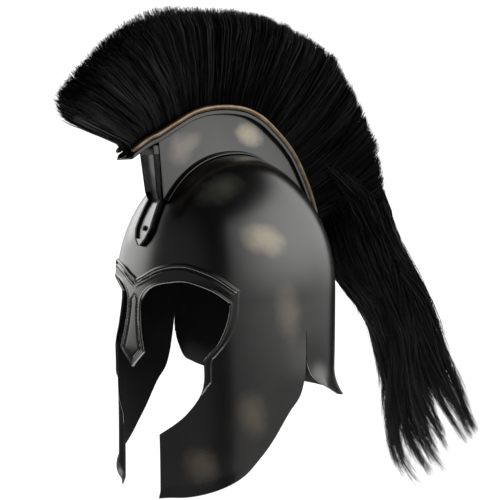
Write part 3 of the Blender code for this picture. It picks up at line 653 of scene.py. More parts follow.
def bevel(obj, width):
    modifier = obj.modifiers.new("bevel", "BEVEL")
    modifier.width = width
    modifier.segments = 2
    modifier.limit_method = "ANGLE"
    modifier.angle_limit = radians(35.0)
    modifier.harden_normals = False
    return obj


def object_from_rings(name, rings, materials):
    """Closed solid through rings of points."""
    rings = np.asarray(rings, float)
    count, around = rings.shape[:2]
    index = np.arange(count * around).reshape(count, around)
    after = np.roll(index, -1, axis=1)
    quads = np.stack([index[:-1], after[:-1], after[1:], index[1:]], axis=-1).reshape(-1, 4)
    mesh = bpy.data.meshes.new(name)
    faces = [tuple(q) for q in quads.tolist()]
    faces.append(tuple(index[0][::-1].tolist()))
    faces.append(tuple(index[-1].tolist()))
    mesh.from_pydata(rings.reshape(-1, 3).tolist(), [], faces)
    return finish_mesh(name, mesh, materials)


def finish_mesh(name, mesh, materials):
    bm = bmesh.new()
    bm.from_mesh(mesh)
    bmesh.ops.recalc_face_normals(bm, faces=bm.faces)
    bm.to_mesh(mesh)
    bm.free()
    for material in materials:
        mesh.materials.append(material)
    mesh.shade_smooth()
    mesh.set_sharp_from_angle(angle=radians(50.0))
    return link(bpy.data.objects.new(name, mesh))


# Rings of the holder between two stations, the small step at the tray's foot and the solder's width
HOLDER_STEPS = 5
REBATE = 0.0007
FILLET = 0.0010


def make_holder(metal, painted_shadow):
    """Tray and plates as one closed skin: the tray runs on in front of the plates."""
    numbers = np.arange(0, STATIONS * HOLDER_STEPS + 1) / HOLDER_STEPS
    floor_point, lip, half, _, _, _ = crest_at(numbers)
    up = unit(lip - floor_point)
    first = FIRST_PLATE * HOLDER_STEPS
    run = np.zeros(len(numbers))
    run[first + 1:] = np.cumsum(np.linalg.norm(np.diff(floor_point[first:], axis=0), axis=1))
    deg = FOOT_FRONT + (FOOT_BACK - FOOT_FRONT) * run / run[-1]
    wide = np.minimum(PLATE_HALF, half - 1.15 * SHEET)
    vertices = []
    faces = []
    rings = []
    for i in range(len(numbers)):
        step = floor_point[i] + up[i] * REBATE
        bed = floor_point[i] + up[i] * SHEET
        under = floor_point[i] - up[i] * SHEET
        free = [("lip_out", lip[i], half[i]), ("step_out", step, half[i]),
                ("step_in", step, half[i] - REBATE), ("floor_out", floor_point[i], half[i] - REBATE),
                ("crown", floor_point[i], wide[i]), ("lip_in", lip[i], half[i] - SHEET),
                ("bed", bed, half[i] - SHEET)]
        foot = []
        if i >= first:
            flange = wide[i] + FLANGE
            free.append(("under", under, wide[i] - SHEET))
            foot = [("knee", wide[i], SHEET * 2.1), ("fillet", wide[i] + FILLET, SHEET * 1.25),
                    ("flange", flange, SHEET), ("foot_out", flange, 0.0), ("foot_in", wide[i] - SHEET, 0.0)]
        ring = {}
        for key, sign in (("r", 1.0), ("l", -1.0)):
            for name, point, x in free:
                ring[name + key] = len(vertices)
                vertices.append(point + ACROSS * (sign * x))
            for name, x, lift in foot:
                ring[name + key] = len(vertices)
                vertices.append(dome_points(sign * x, deg[i], FOOT_GAP + lift))
        rings.append(ring)
    right = ["lip_outr", "step_outr", "step_inr", "floor_outr", "crownr"]
    left = ["crownl", "floor_outl", "step_inl", "step_outl", "lip_outl"]
    trough = ["lip_inl", "bedl", "bedr", "lip_inr"]
    legs = ["kneer", "filletr", "flanger", "foot_outr", "foot_inr", "underr", "underl", "foot_inl",
            "foot_outl", "flangel", "filletl", "kneel"]
    tray = right + left + trough
    whole = right + legs + left + trough
    # These faces, the step under the tray and the flanges' feet, take the near-black metal: painted shadow
    # under the tray's overhang and between the flanges and the bowl
    dark = {"step_outr", "step_inr", "floor_outr", "crownl", "floor_outl", "step_inl", "foot_outr",
            "foot_inl"}
    kinds = []
    for i in range(len(numbers) - 1):
        order = tray if i < first else whole
        for name, other in zip(order, order[1:] + order[:1]):
            faces.append((rings[i][name], rings[i][other], rings[i + 1][other], rings[i + 1][name]))
            kinds.append(int(name in dark))
    faces.append(tuple(rings[0][name] for name in tray[::-1]))
    faces.append(tuple(rings[-1][name] for name in whole))
    faces.append(tuple(rings[first][name] for name in [right[-1]] + legs + [left[0]]))
    kinds += [1, 0, 0]
    mesh = bpy.data.meshes.new("crest_holder_metal")
    mesh.from_pydata([tuple(float(c) for c in p) for p in vertices], [], faces)
    obj = finish_mesh("crest_holder_metal", mesh, (metal, painted_shadow))
    mesh.polygons.foreach_set("material_index", kinds)
    return bevel(obj, 0.0002)


def make_trims(brass):
    numbers = np.arange(0, STATIONS * 6 + 1) / 6
    _, lip, half, _, _, _ = crest_at(numbers)
    ahead = unit(np.gradient(lip, axis=0))
    rise = unit(np.cross(ACROSS, ahead))
    cosine, sine = circle(12)
    size = np.full((len(lip), 1, 1), TRIM_RADIUS)
    size[[0, -1]] = TRIM_RADIUS * 0.6
    trims = []
    for name, sign in (("left", 1.0), ("right", -1.0)):
        centre = lip + rise * (TRIM_RADIUS * 1.05 + GAP)
        centre[:, 0] += sign * (half - SHEET * 0.5)
        rings = centre[:, None] + size * (cosine[:, None] * ACROSS + sine[:, None] * rise[:, None])
        trims.append(object_from_rings("lip_bead_" + name, rings, (brass,)))
    return trims


def make_bracket(metal, panel_metal, side_metal):
    # Stations: degrees round the dome, share of BRACKET_HALF, share of BRACKET_RIM, panel sunk or not
    strap = [STRAP[0]]
    for a, b in zip(STRAP, STRAP[1:]):
        count = 4 if a[0] - b[0] > 1.0 else 1
        for k in range(1, count):
            strap.append((*(p + (q - p) * k / count for p, q in zip(a[:3], b[:3])), a[3]))
        strap.append(b)
    stations = [(np.array([0.0, y * LENGTH, z * HEIGHT]), None, *rest) for y, z, *rest in STEM]
    stations += [(dome_points(0.0, deg, GAP), deg, *rest) for deg, *rest in strap]
    rings = []
    for i, (centre, deg, half_share, rim_share, sunk) in enumerate(stations):
        run = unit(stations[min(i + 1, len(stations) - 1)][0] - stations[max(i - 1, 0)][0])
        front = unit(np.cross(run, ACROSS))
        if front[1] > 0:
            front = -front
        half = half_share * BRACKET_HALF
        rim = rim_share * BRACKET_RIM
        inner = half - RIM_WIDTH
        panel = BRACKET_PANEL if sunk else rim - PANEL_STEP
        ring = []
        for x, height in ((-half, 0.0), (0.0, 0.0), (half, 0.0), (half, rim), (inner, rim),
                          (inner, panel), (-inner, panel), (-inner, rim), (-half, rim)):
            back = centre + ACROSS * x if deg is None else dome_points(x, deg, GAP)
            ring.append(back + front * height)
        rings.append(ring)
    obj = object_from_rings("bracket_metal", rings, (metal, panel_metal, side_metal))
    # The panel and the inside of the stem's channel are bare, and the stem's upper end is of the
    # crest's metal
    around = len(rings[0])
    for i in range((len(rings) - 1) * around):
        if i < around:
            kind = 2
        elif i < (len(STEM) - 1) * around:
            kind = int(i % around in (4, 5, 6))
        else:
            kind = int(i % around == 5)
        obj.data.polygons[i].material_index = kind
    return bevel(obj, 0.00035)


def make_rivet(metal):
    seat = dome_points(0.0, RIVET_ANGLE, 0.0)
    near = dome_points(0.0, RIVET_ANGLE + 1.0, 0.0) - dome_points(0.0, RIVET_ANGLE - 1.0, 0.0)
    axis = unit(np.cross(near, ACROSS))
    if axis[1] > 0:
        axis = -axis
    other = np.cross(axis, ACROSS)
    panel = GAP + BRACKET_PANEL + GAP
    inner_face = -WALL - GAP
    profile = [(inner_face - RIVET_TAIL, RIVET_HEAD * 0.85), (inner_face - RIVET_TAIL * 0.7, RIVET_HEAD),
               (inner_face, RIVET_HEAD), (inner_face, RIVET_SHANK), (panel, RIVET_SHANK), (panel, RIVET_HEAD)]
    profile += [(panel + RIVET_CAP * sin(t * pi / 12), RIVET_HEAD * cos(t * pi / 12)) for t in range(1, 6)]
    cosine, sine = circle(24)
    rings = [seat + axis * h + r * (cosine[:, None] * ACROSS + sine[:, None] * other) for h, r in profile]
    return object_from_rings("rivet_metal", rings, (metal,))


# Hair

HAIR_CLEAR = 2.05 * TRIM_RADIUS + 2.0 * GAP
# Way across the tail's swing
TAIL_SIDE = np.array([cos(radians(TAIL_SWING)), -sin(radians(TAIL_SWING)), 0.0])
# Share of a brush's spread that is reached at its waist
WAIST = 0.6
# Dark body under the loose hair: its share of the brush's height at the front and behind, and of
# its spread, then a lock's rings, its share of the lock and the rows that it stops short of
CORE_REACH = (0.45, 0.86)
CORE_SPREAD = 0.72
CORE_RINGS = 24
CORE_SHARE = 0.62
CORE_SHORT = 3.8


def narrow_of(half):
    return half - 0.5 * SHEET - TRIM_RADIUS - 1.3 * GAP


def lock_table(lock):
    """A lock of the tail by row number: centre, half width and half depth."""
    swing = radians(TAIL_SWING)
    rows = np.array(lock, float)
    d = rows[:, 0] * TAIL_REACH
    start = CREST[-1][0] * LENGTH + TAIL_SET
    return np.column_stack([np.arange(len(rows)), d * sin(swing), start + d * cos(swing),
                            rows[:, 1] * HEIGHT, rows[:, 2] * TAIL_HALF_WIDTH,
                            rows[:, 3] * TAIL_HALF_DEPTH])


def make_core(material):
    """Dark body of hair under the loose strands, a little inside the outer form."""
    numbers = np.arange(2, STATIONS * 2) / 2
    floor_point, lip, half, tip, spread, swing = crest_at(numbers)
    up = unit(lip - floor_point)
    base = floor_point + up * (SHEET + GAP)
    clear = lip + up * HAIR_CLEAR
    low, high = CORE_REACH
    end = clear + (tip - clear) * (low + (high - low) * smooth(0.5, 4.0, numbers))[:, None]
    narrow = narrow_of(half)
    spread = spread * CORE_SPREAD
    waist = narrow + (spread - narrow) * WAIST
    levels = ((base, narrow * 0.9, 0.0), (clear, narrow * 0.9, 0.0),
              (clear + (end - clear) * 0.35, waist, 0.35), (clear + (end - clear) * 0.8, spread, 0.8),
              (end, spread * 0.55, 1.0))
    rings = []
    for i in range(len(base)):
        right = [p[i] + ACROSS * (swing[i] * s * high + w[i]) for p, w, s in levels]
        left = [p[i] + ACROSS * (swing[i] * s * high - w[i]) for p, w, s in levels]
        rings.append(right + left[::-1])
    objects = [object_from_rings("plume_core", rings, (material,))]
    cosine, sine = circle(10)
    taper = CORE_SHARE * (1.0 - smooth(0.75, 1.0, np.linspace(0.0, 1.0, CORE_RINGS)) * 0.85)
    for number, lock in enumerate(LOCKS):
        table = lock_table(lock)
        rows = rows_at(table, np.linspace(0.0, len(table) - 1 - CORE_SHORT, CORE_RINGS))
        centre = rows[:, :3]
        out = unit(np.cross(TAIL_SIDE, unit(np.gradient(centre, axis=0))))
        rings = centre[:, None] + (out[:, None] * (rows[:, 3] * taper)[:, None, None] * cosine[:, None]
                                   + TAIL_SIDE * (rows[:, 4] * taper)[:, None, None] * sine[:, None])
        objects.append(object_from_rings("tail_core_" + str(number + 1), rings, (material,)))
    return objects


def ribbons(name, paths, widths, rng, material):
    """Narrow twisting ribbons along paths, with one tone for each."""
    count, steps = paths.shape[:2]
    run = unit(np.gradient(paths, axis=1))
    pick = unit(rng.normal(size=(count, 1, 3)))
    side = unit(np.cross(run, pick))
    other = np.cross(run, side)
    twist = rng.uniform(-1.5, 1.5, (count, 1)) * np.linspace(0.0, 1.0, steps)
    side = side * np.cos(twist)[..., None] + other * np.sin(twist)[..., None]
    side = side * widths[..., None] / 2
    vertices = np.stack([paths - side, paths + side], axis=2)
    index = np.arange(count * steps * 2).reshape(count, steps, 2)
    faces = np.stack([index[:, :-1, 0], index[:, :-1, 1], index[:, 1:, 1], index[:, 1:, 0]], axis=-1)
    obj = mesh_object(name, vertices.reshape(-1, 3), faces.reshape(-1, 4), (material,))
    tone = np.repeat(rng.uniform(0.0, 1.0, count), steps * 2)
    layer = obj.data.attributes.new("tone", "FLOAT", "POINT")
    layer.data.foreach_set("value", tone.astype(np.float32))
    return obj


# Loose hair: points of a strand, strands of a brush piece and of a lock, the tufts and wisps that
# they gather in, and the least and greatest width of a strand
BRUSH_POINTS = 7
TAIL_POINTS = 12
BRUSH_STRANDS = 13500
BRUSH_TUFTS = 640
TAIL_STRANDS = 4200
TAIL_WISPS = 40
STRAND_WIDTH = (0.0005, 0.0009)
# Share of the brush strands that stand near its sides
SIDE_SHARE = 0.7
# Reach of the brush strands as a share of the outer form: mean, and less by tuft and by strand.
# In front more falls short, by tuft and by strand, from a greater mean
REACH = (1.012, 0.012, 0.028)
FRONT_REACH = (0.06, 0.05, 0.08)
GREATEST_REACH = (1.05, 0.04)
# Stations over which the brush's open front end changes into its body
FRONT_FADE = (0.5, 2.5)
# Shares of the way to the middle of its tuft or wisp that a strand's end goes
TUFT_GATHER = (0.05, 0.5)
WISP_GATHER = (0.86, 0.99)
# How far ends stray, along the tray in stations and else in metres: by tuft or wisp, and by strand
LEAN_ALONG = (0.08, 0.12)
LEAN_SIDE = (0.0035, 0.0020)
STRAY = (0.0075, 0.0010)
FRIZZ = 0.0040
# Shortest wisp as a share of its lock, how much the lock's end is drawn in, how far its strands
# rise from the tray first, and how much they stand out and wave
WISP_SHORTEST = 0.24
TAIL_DRAW = 0.36
TAIL_RISE = (0.020, 0.045)
TAIL_LOOSE = 0.003
WAVE = 0.0012
# Share of the first brush's strands that stand in its open front end
FRONT_SHARE = 0.12
# Station where the first hair stands in the tray
FRONT_ROOT = 0.35
# Shares of a stray that go across, along and up
STRAY_SHARES = (0.45, 1.0, 1.0)
# Stations of the tray where the strands of each lock are rooted
LOCK_ROOTS = ((10.5, 13.0), (12.0, 14.5), (13.5, 16.0), (15.0, 17.0))


def sideways(x):
    return x[:, None] * ACROSS


def finish_strands(name, path, shares, widths, rng, material):
    """Ribbons along the paths, tapered by rows of (share of the length) and (share of the width)."""
    taper = np.interp(np.linspace(0.0, 1.0, path.shape[1]), shares, widths)
    return ribbons(name, path, rng.uniform(*STRAND_WIDTH, (len(path), 1)) * taper, rng, material)


def make_brush(name, low, high, seed, material):
    """Strands that stand in the tray between two station numbers."""
    rng = np.random.default_rng(seed)
    count = BRUSH_STRANDS
    number = rng.uniform(low, high, count)
    surface = rng.uniform(0.0, 1.0, count) < SIDE_SHARE
    flank = rng.choice([-1.0, 1.0], count) * (1.0 - 0.22 * rng.uniform(0.0, 1.0, count) ** 1.5)
    across = np.where(surface, flank, rng.uniform(-1.0, 1.0, count))
    if low == 0.0:
        front = rng.uniform(0.0, 1.0, count) < FRONT_SHARE
        number = np.where(front, rng.uniform(0.0, 1.2, count), number)
        across = np.where(front, rng.uniform(-1.0, 1.0, count), across)
        number = np.where(number < 1.0, FRONT_ROOT + (1.0 - FRONT_ROOT) * number, number)
    # Strands of one tuft, those nearest to its middle, lean towards the same end
    middles = np.stack([rng.uniform(low, high, BRUSH_TUFTS), rng.uniform(-1.1, 1.1, BRUSH_TUFTS)])
    apart = np.abs(number[:, None] - middles[0]) + 0.7 * np.abs(across[:, None] - middles[1])
    tuft = apart.argmin(axis=1)
    lean_along = rng.normal(0.0, LEAN_ALONG[0], BRUSH_TUFTS)[tuft] + rng.normal(0.0, LEAN_ALONG[1], count)
    lean_side = rng.normal(0.0, LEAN_SIDE[0], BRUSH_TUFTS)[tuft] + rng.normal(0.0, LEAN_SIDE[1], count)
    mean, by_tuft, by_strand = REACH
    reach = mean + rng.normal(0.0, by_tuft, BRUSH_TUFTS)[tuft] - np.abs(rng.normal(0.0, by_strand, count))
    mean, by_tuft, by_strand = FRONT_REACH
    short = np.abs(rng.normal(0.0, by_tuft, BRUSH_TUFTS))[tuft] + np.abs(rng.normal(0.0, by_strand, count))
    body = smooth(*FRONT_FADE, number)
    reach -= (short - mean) * (1.0 - body)
    gather = rng.uniform(*TUFT_GATHER, count)
    end_number = np.maximum(number + (middles[0][tuft] - number) * gather + lean_along, 0.0)
    end_across = across + (middles[1][tuft] - across) * gather * 0.8
    floor_point, lip, half, _, _, _ = crest_at(number)
    _, _, _, tip, spread, swing = crest_at(end_number)
    up = unit(lip - floor_point)
    base = floor_point + up * (SHEET + GAP)
    clear = lip + up * (HAIR_CLEAR * (0.2 + 0.8 * smooth(0.0, 1.6, number)))[:, None]
    narrow = narrow_of(half) * 0.97
    reach = np.minimum(reach * (1.0 - 0.10 * across ** 2), GREATEST_REACH[0] - GREATEST_REACH[1] * body)
    full = np.linalg.norm(tip - clear, axis=1, keepdims=True)
    rise = smooth(0.3, 4.5, number)[:, None]
    first = clear + unit(up * rise + unit(tip - clear) * (1.0 - rise)) * full * 0.30
    second = clear + (tip - clear) * 0.68 + rng.normal(0.0, 0.0025, (count, 3)) * (0.3, 1.0, 1.0)
    t = np.linspace(0.0, 1.0, BRUSH_POINTS)[None, :] * reach[:, None]
    b = t[..., None]
    path = ((1 - b) ** 3 * clear[:, None] + 3 * (1 - b) ** 2 * b * first[:, None]
            + 3 * (1 - b) * b * b * second[:, None] + b ** 3 * tip[:, None])
    waist = narrow + (spread - narrow) * WAIST
    width = np.where(t < 0.35, narrow[:, None] + (waist - narrow)[:, None] * t / 0.35,
                     waist[:, None] + (spread - waist)[:, None] * np.clip((t - 0.35) / 0.45, 0.0, 1.0))
    width = width * (1.0 - 0.30 * smooth(0.8, 1.0, t))
    spot = across[:, None] + (end_across - across)[:, None] * t * t
    path[..., 0] = spot * width + swing[:, None] * t + lean_side[:, None] * t * t
    path[:, 0] = base + sideways(across * narrow)
    return finish_strands(name, path, (0.0, 0.6, 0.85, 1.0), (1.0, 1.0, 0.85, 0.35), rng, material)


def make_tail(name, lock, roots, seed, material):
    """Strands of one lock: from the tray, out through the brush and down the tail."""
    rng = np.random.default_rng(seed)
    count = TAIL_STRANDS
    number = rng.uniform(*roots, count)
    across = rng.uniform(-1.0, 1.0, count)
    floor_point, lip, half, _, _, _ = crest_at(number)
    up = unit(lip - floor_point)
    root = sideways(across * narrow_of(half) * 0.5)
    table = lock_table(lock)
    last = len(table) - 1
    wisp = rng.integers(0, TAIL_WISPS, count)
    wisp_end = (WISP_SHORTEST + (1.0 - WISP_SHORTEST) * rng.uniform(0.0, 1.0, TAIL_WISPS))[wisp]
    ends = last * np.minimum(wisp_end * (1.0 - np.abs(rng.normal(0.0, 0.08, count))), 1.0)
    begins = rng.uniform(0.5, 1.5, count)
    turn = rng.uniform(0.0, 2 * pi, count)
    spot = np.sqrt(rng.uniform(0.2, 1.0, count)) * 0.97 * np.stack([np.cos(turn), np.sin(turn)])
    wisp_turn = rng.uniform(0.0, 2 * pi, TAIL_WISPS)[wisp]
    wisp_radius = np.sqrt(rng.uniform(0.1, 1.0, TAIL_WISPS))[wisp]
    wisp_spot = wisp_radius * np.stack([np.cos(wisp_turn), np.sin(wisp_turn)])
    gather = rng.uniform(*WISP_GATHER, count)
    # Ends stray from the lock, each wisp its own way
    stray = rng.normal(0.0, STRAY[0], (TAIL_WISPS, 3))[wisp] + rng.normal(0.0, STRAY[1], (count, 3))
    frizz = rng.normal(0.0, FRIZZ, (count, 3))
    points = [floor_point + up * (SHEET + GAP) + root, lip + up * HAIR_CLEAR + root]
    points.append(points[1] + up * rng.uniform(*TAIL_RISE, count)[:, None])
    for k in range(TAIL_POINTS - 3):
        share = k / (TAIL_POINTS - 4)
        where = begins + (ends - begins) * share
        rows = rows_at(table, where)
        run = unit(rows_at(table, where + 0.05)[:, :3] - rows_at(table, where - 0.05)[:, :3])
        out = unit(np.cross(TAIL_SIDE, run))
        drawn = spot + (wisp_spot - spot) * gather * smooth(0.1, 0.85, share)
        drawn = drawn * (1.0 - TAIL_DRAW * smooth(0.35, 0.85, share * ends / last))
        wave = WAVE * np.sin(share * 7.0 + wisp_turn * 3.0)
        free = (stray * smooth(0.45, 1.05, share) + frizz * smooth(0.62, 1.1, share)) * STRAY_SHARES
        wide = drawn[0] * (rows[:, 3] + TAIL_LOOSE * share) + wave
        deep = drawn[1] * (rows[:, 4] + TAIL_LOOSE * share)
        points.append(rows[:, :3] + out * wide[:, None] + TAIL_SIDE * deep[:, None] + free)
    path = np.stack(points, axis=1)
    return finish_strands(name, path, (0.0, 0.65, 0.85, 1.0), (1.0, 0.9, 0.5, 0.15), rng, material)


# Materials

def fill(tree, node, inputs):
    """Inputs of a node by name or number, each a constant or another node's output."""
    for key, value in inputs.items():
        socket = node.inputs[key]
        if isinstance(value, bpy.types.NodeSocket):
            tree.links.new(value, socket)
        elif socket.type == "RGBA":
            socket.default_value = (*value, 1.0)
        else:
            socket.default_value = value


def put(tree, kind, inputs, output, **settings):
    """Output of a new node."""
    node = tree.nodes.new("ShaderNode" + kind)
    for key, value in settings.items():
        setattr(node, key, value)
    fill(tree, node, inputs)
    return node.outputs[output]


def new_material(name):
    material = bpy.data.materials.new(name)
    material.use_nodes = True
    return material, material.node_tree


def shade(material, inputs):
    fill(material.node_tree, material.node_tree.nodes["Principled BSDF"], inputs)
    return material


def position(tree):
    return put(tree, "NewGeometry", {}, "Position")


def noise(tree, scale, detail, source, output="Fac"):
    return put(tree, "TexNoise", {"Scale": scale, "Detail": detail, "Vector": source}, output)


def remap(tree, source, low, high, to_low, to_high, **settings):
    inputs = {"Value": source, "From Min": low, "From Max": high, "To Min": to_low, "To Max": to_high}
    return put(tree, "MapRange", inputs, "Result", **settings)


def mix_colour(tree, factor, a, b):
    return put(tree, "Mix", {"Factor": factor, "A": a, "B": b}, "Result", data_type="RGBA")


def combine(tree, operation, a, b):
    return put(tree, "Math", {0: a, 1: b}, 0, operation=operation)


def bump(tree, height, strength, size):
    return put(tree, "Bump", {"Strength": strength, "Distance": size, "Height": height}, "Normal")


# Lighter tinted places on the metal, partly worn finish and partly painted reflection of warm light:
# centre, half lengths, turn about the line of sight in degrees, strength, colour
TAN = (0.86, 0.76, 0.60)
BEIGE = (0.56, 0.49, 0.38)
OLIVE = (0.50, 0.50, 0.38)
ROSE = (0.70, 0.60, 0.55)
BROWN = (0.50, 0.40, 0.30)
# How far noise shifts their outlines
WARP = 0.009
PATCHES = (
    ((0.012, -0.0800, 0.0040), (0.020, 0.022, 0.016), 35.0, 0.50, ROSE),
    ((0.012, -0.0640, 0.0120), (0.020, 0.014, 0.010), 35.0, 0.40, OLIVE),
    ((0.012, 0.0157, 0.0221), (0.020, 0.021, 0.013), -10.0, 0.95, TAN),
    ((0.0550, -0.0660, -0.0370), (0.032, 0.030, 0.014), 25.0, 0.85, OLIVE),
    ((0.0914, -0.0428, -0.0866), (0.026, 0.026, 0.017), -15.0, 0.85, TAN),
    ((0.1037, -0.0196, -0.1617), (0.024, 0.019, 0.033), 8.0, 0.62, BEIGE),
    ((0.0957, -0.0623, -0.2562), (0.022, 0.017, 0.026), 15.0, 0.70, BROWN),
    ((0.0670, -0.1034, -0.3049), (0.022, 0.018, 0.020), 0.0, 0.60, BROWN),
    ((-0.0900, -0.0300, -0.0800), (0.026, 0.030, 0.018), 10.0, 0.50, TAN),
    ((-0.1030, 0.0100, -0.1500), (0.020, 0.018, 0.026), 0.0, 0.40, BEIGE),
    ((-0.0940, -0.0600, -0.2500), (0.020, 0.016, 0.020), 0.0, 0.45, BROWN),
    ((0.0100, 0.1150, -0.1500), (0.030, 0.020, 0.024), 0.0, 0.40, BEIGE),
)


def make_bronze(name, low, high):
    material, tree = new_material(name)
    place = position(tree)
    cloud = noise(tree, 9.0, 3.0, place)
    colour = mix_colour(tree, remap(tree, cloud, 0.35, 0.65, 0.0, 1.0), low, high)
    patch_breakup = remap(tree, noise(tree, 90.0, 2.0, place), 0.35, 0.60, 0.80, 1.0)
    speck = noise(tree, 60.0, 1.5, place, "Color")
    warped = put(tree, "VectorMath", {0: speck, 1: (WARP, WARP, WARP), 2: place}, "Vector",
                 operation="MULTIPLY_ADD")
    total = None
    # Lighter tinted patches: partly worn finish, partly painted reflection
    for centre, sizes, turn, strength, tint in PATCHES:
        inputs = {"Location": [c + WARP / 2 for c in centre], "Rotation": (radians(turn), 0.0, 0.0),
                  "Scale": sizes, "Vector": warped}
        local = put(tree, "Mapping", inputs, "Vector", vector_type="TEXTURE")
        length = put(tree, "VectorMath", {0: local}, "Value", operation="LENGTH")
        mask = combine(tree, "MULTIPLY", remap(tree, length, 0.30, 1.10, strength, 0.0), patch_breakup)
        colour = mix_colour(tree, mask, colour, tint)
        total = mask if total is None else combine(tree, "MAXIMUM", total, mask)
    rough = remap(tree, cloud, 0.3, 0.7, 0.20, 0.28)
    patch_roughness = combine(tree, "MULTIPLY", total, 0.15)
    return shade(material, {
        "Base Color": colour, "Roughness": combine(tree, "ADD", rough, patch_roughness),
        "Metallic": remap(tree, total, 0.0, 1.0, 1.0, 0.6),
        "Normal": bump(tree, noise(tree, 420.0, 3.0, place), 0.05, 0.0002)})


def make_metal(name, low, high, clouds=(130.0, 3.0), rough=(0.28, 0.42), depth=0.06):
    """Cloudy metal between two colours: size and detail of the clouds, roughness, bump."""
    material, tree = new_material(name)
    place = position(tree)
    cloud = noise(tree, *clouds, place)
    return shade(material, {
        "Base Color": mix_colour(tree, remap(tree, cloud, 0.35, 0.65, 0.0, 1.0), low, high),
        "Roughness": remap(tree, cloud, 0.3, 0.7, *rough), "Metallic": 0.9,
        "Normal": bump(tree, noise(tree, 900.0, 2.0, place), depth, 0.0002)})


# Near-black colour for the inner face of the bowl, much darker than its bronze outside: painted shade
# inside the helmet
def make_inner_shade():
    material, tree = new_material("inner_painted_shade")
    place = position(tree)
    cloud = noise(tree, 60.0, 3.0, place)
    return shade(material, {
        "Base Color": mix_colour(tree, cloud, (0.002, 0.002, 0.002), (0.005, 0.005, 0.005)),
        "Specular IOR Level": 0.15, "Roughness": remap(tree, cloud, 0.3, 0.7, 0.5, 0.65),
        "Normal": bump(tree, noise(tree, 700.0, 2.0, place), 0.1, 0.0003)})


def make_hair(name, low, high):
    material, tree = new_material(name)
    tone = put(tree, "Attribute", {}, "Fac", attribute_name="tone")
    return shade(material, {"Base Color": mix_colour(tree, tone, low, high),
                            "Roughness": remap(tree, tone, 0.0, 1.0, 0.40, 0.60)})


def make_plain(name, scale, detail, low, high, inputs):
    """Rough surface with a faint noise between two colours."""
    material, tree = new_material(name)
    colour = mix_colour(tree, noise(tree, scale, detail, position(tree)), low, high)
    return shade(material, {"Base Color": colour, **inputs})


# Stage

WHITE = (1.0, 1.0, 1.0)
FLOOR_Z = -0.60
FLOOR_RADIUS = 0.50
CAMERA_PLACE = (0.66671, -0.63749, -0.04675)
CAMERA_RIGHT = (0.70711, 0.70711, 0.0)
CAMERA_UP = (-0.04317, 0.04317, 0.99815)
CAMERA_BACK = (0.70579, -0.70579, 0.06105)
CAMERA_LENS = 60.84
KEY_PLACE = (-1.5, -0.1, 0.7)
KEY_TARGET = (0.0, 0.0, -0.1)
KEY_SIZE = 1.2
KEY_POWER = 3.0


def make_camera():
    data = bpy.data.cameras.new("camera")
    data.lens = CAMERA_LENS
    data.sensor_width = 36.0
    camera = bpy.data.objects.new("camera", data)
    turn = Matrix((CAMERA_RIGHT, CAMERA_UP, CAMERA_BACK)).transposed().to_4x4()
    camera.matrix_world = Matrix.Translation(CAMERA_PLACE) @ turn
    bpy.context.scene.camera = link(camera)


def make_floor():
    material = make_plain("floor_white", 2.0, 1.0, (0.90, 0.90, 0.90), (0.93, 0.93, 0.93),
                          {"Roughness": 0.9, "Emission Color": WHITE, "Emission Strength": 1.0})
    cosine, sine = circle(96)
    rim = np.stack([FLOOR_RADIUS * cosine, FLOOR_RADIUS * sine, np.full(96, FLOOR_Z)], axis=1)
    mesh_object("studio_floor", rim, [tuple(range(96))], (material,))


# Soft studio surroundings: brightness of each part and the ramps that limit it, as an axis and the
# shares of it where the ramp starts and is full
RIGHT = (0.342, 0.940, 0.0)
ABOVE = (0.0, 0.0, -1.0)
SIDE = (0.906, 0.423, 0.0)
ZONES = (
    (0.79, (((0.165, 0.937, 0.309), -0.20, 1.0), (RIGHT, -0.03, 0.10), (ABOVE, -0.78, -0.62),
            ((0.0, 0.0, 1.0), -0.28, 0.24), (SIDE, -0.12, 0.08))),
    (0.12, ((RIGHT, -0.03, 0.10), (ABOVE, -0.78, -0.62))),
    (0.045, (((0.0, -1.0, 0.0), 0.50, 0.90),)),
    (1.35, (((-0.975, -0.172, 0.139), 0.67, 0.966), ((0.0, 0.0, 1.0), -0.20, 0.06))),
)
SURROUNDINGS = 0.018
BACKDROP = 1.2


def make_world():
    world = bpy.data.worlds.new("studio")
    bpy.context.scene.world = world
    world.use_nodes = True
    tree = world.node_tree
    tree.nodes.clear()
    direction = put(tree, "TexCoord", {}, "Generated")
    total = SURROUNDINGS
    for power, limits in ZONES:
        part = power
        for axis, low, high in limits:
            dot = put(tree, "VectorMath", {0: direction, 1: Vector(axis).normalized()}, "Value",
                      operation="DOT_PRODUCT")
            ramp = remap(tree, dot, low, high, 0.0, 1.0, interpolation_type="SMOOTHSTEP")
            part = combine(tree, "MULTIPLY", part, ramp)
        total = combine(tree, "ADD", total, part)
    around = put(tree, "Background", {"Color": WHITE, "Strength": total}, "Background")
    white = put(tree, "Background", {"Color": WHITE, "Strength": BACKDROP}, "Background")
    seen = put(tree, "LightPath", {}, "Is Camera Ray")
    mixed = put(tree, "MixShader", {"Fac": seen, 1: around, 2: white}, "Shader")
    fill(tree, tree.nodes.new("ShaderNodeOutputWorld"), {"Surface": mixed})


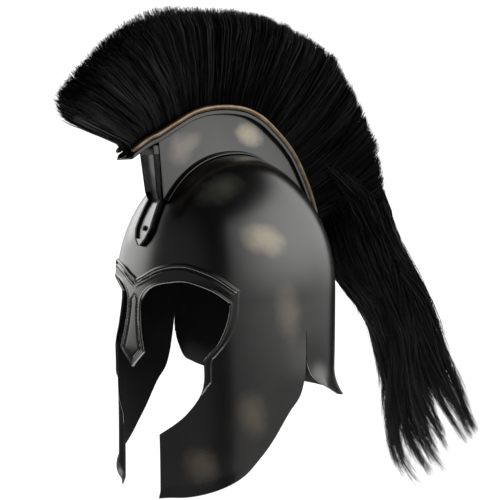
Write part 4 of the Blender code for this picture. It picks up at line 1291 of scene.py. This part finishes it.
def make_key():
    data = bpy.data.lights.new("key", "AREA")
    data.shape = "DISK"
    data.size = KEY_SIZE
    data.energy = KEY_POWER
    light = link(bpy.data.objects.new("key", data))
    light.location = KEY_PLACE
    light.rotation_euler = (Vector(KEY_TARGET) - Vector(KEY_PLACE)).to_track_quat("-Z", "Y").to_euler()


def dress(obj, slot, *nodes):
    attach(obj, "root")
    if nodes:
        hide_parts(*nodes)


make_camera()
bronze = make_bronze("dark_bronze_metal", (0.205, 0.205, 0.203), (0.245, 0.243, 0.238))
crest_bronze = make_bronze("crest_bronze_metal", (0.155, 0.155, 0.152), (0.190, 0.189, 0.184))
# Near-black metal for the step under the tray and the flange feet: painted shadow
painted_shadow = make_metal("painted_shadow_dark", (0.012, 0.011, 0.010), (0.025, 0.024, 0.022))
# Inner faces of the bowl: painted shade
inner_face = make_inner_shade()
brass = make_metal("worn_brass_metal", (0.50, 0.33, 0.19), (0.72, 0.58, 0.42), (70.0, 4.0), (0.3, 0.45),
                   0.08)
black = make_metal("bracket_black", (0.030, 0.030, 0.032), (0.055, 0.055, 0.056))
grey = make_metal("bracket_grey", (0.48, 0.48, 0.48), (0.60, 0.60, 0.59))
hair = make_hair("horsehair_strands", (0.0035, 0.0035, 0.0035), (0.017, 0.017, 0.0175))
depth = make_plain("hair_depth", 300.0, 3.0, (0.003, 0.003, 0.003), (0.009, 0.009, 0.009),
                   {"Roughness": 0.8})

dress(make_shell(bronze, inner_face), "dark_bronze", "helmet_shell")
dress(make_holder(crest_bronze, painted_shadow), "dark_bronze", "crest_holder")
dress(make_bracket(black, grey, crest_bronze), "dark_bronze", "front_bracket")
dress(make_rivet(black), "dark_bronze", "bracket_rivet")
for bead, node in zip(make_trims(brass), ("lip_trim_left", "lip_trim_right")):
    dress(bead, "worn_brass", node)
for number, core in enumerate(make_core(depth)):
    dress(core, "horsehair", *(("horsehair_plume",) if number == 0 else ()))
cuts = np.linspace(0.0, STATIONS, 4)
for number, (low, high) in enumerate(zip(cuts, cuts[1:])):
    dress(make_brush("brush_strands_" + str(number + 1), low, high, 11 + number, hair), "horsehair")
for number, (lock, roots) in enumerate(zip(LOCKS, LOCK_ROOTS)):
    dress(make_tail("tail_strands_" + str(number + 1), lock, roots, 31 + number, hair), "horsehair")

make_floor()
make_world()
make_key()
bpy.context.scene.view_settings.view_transform = "Standard"
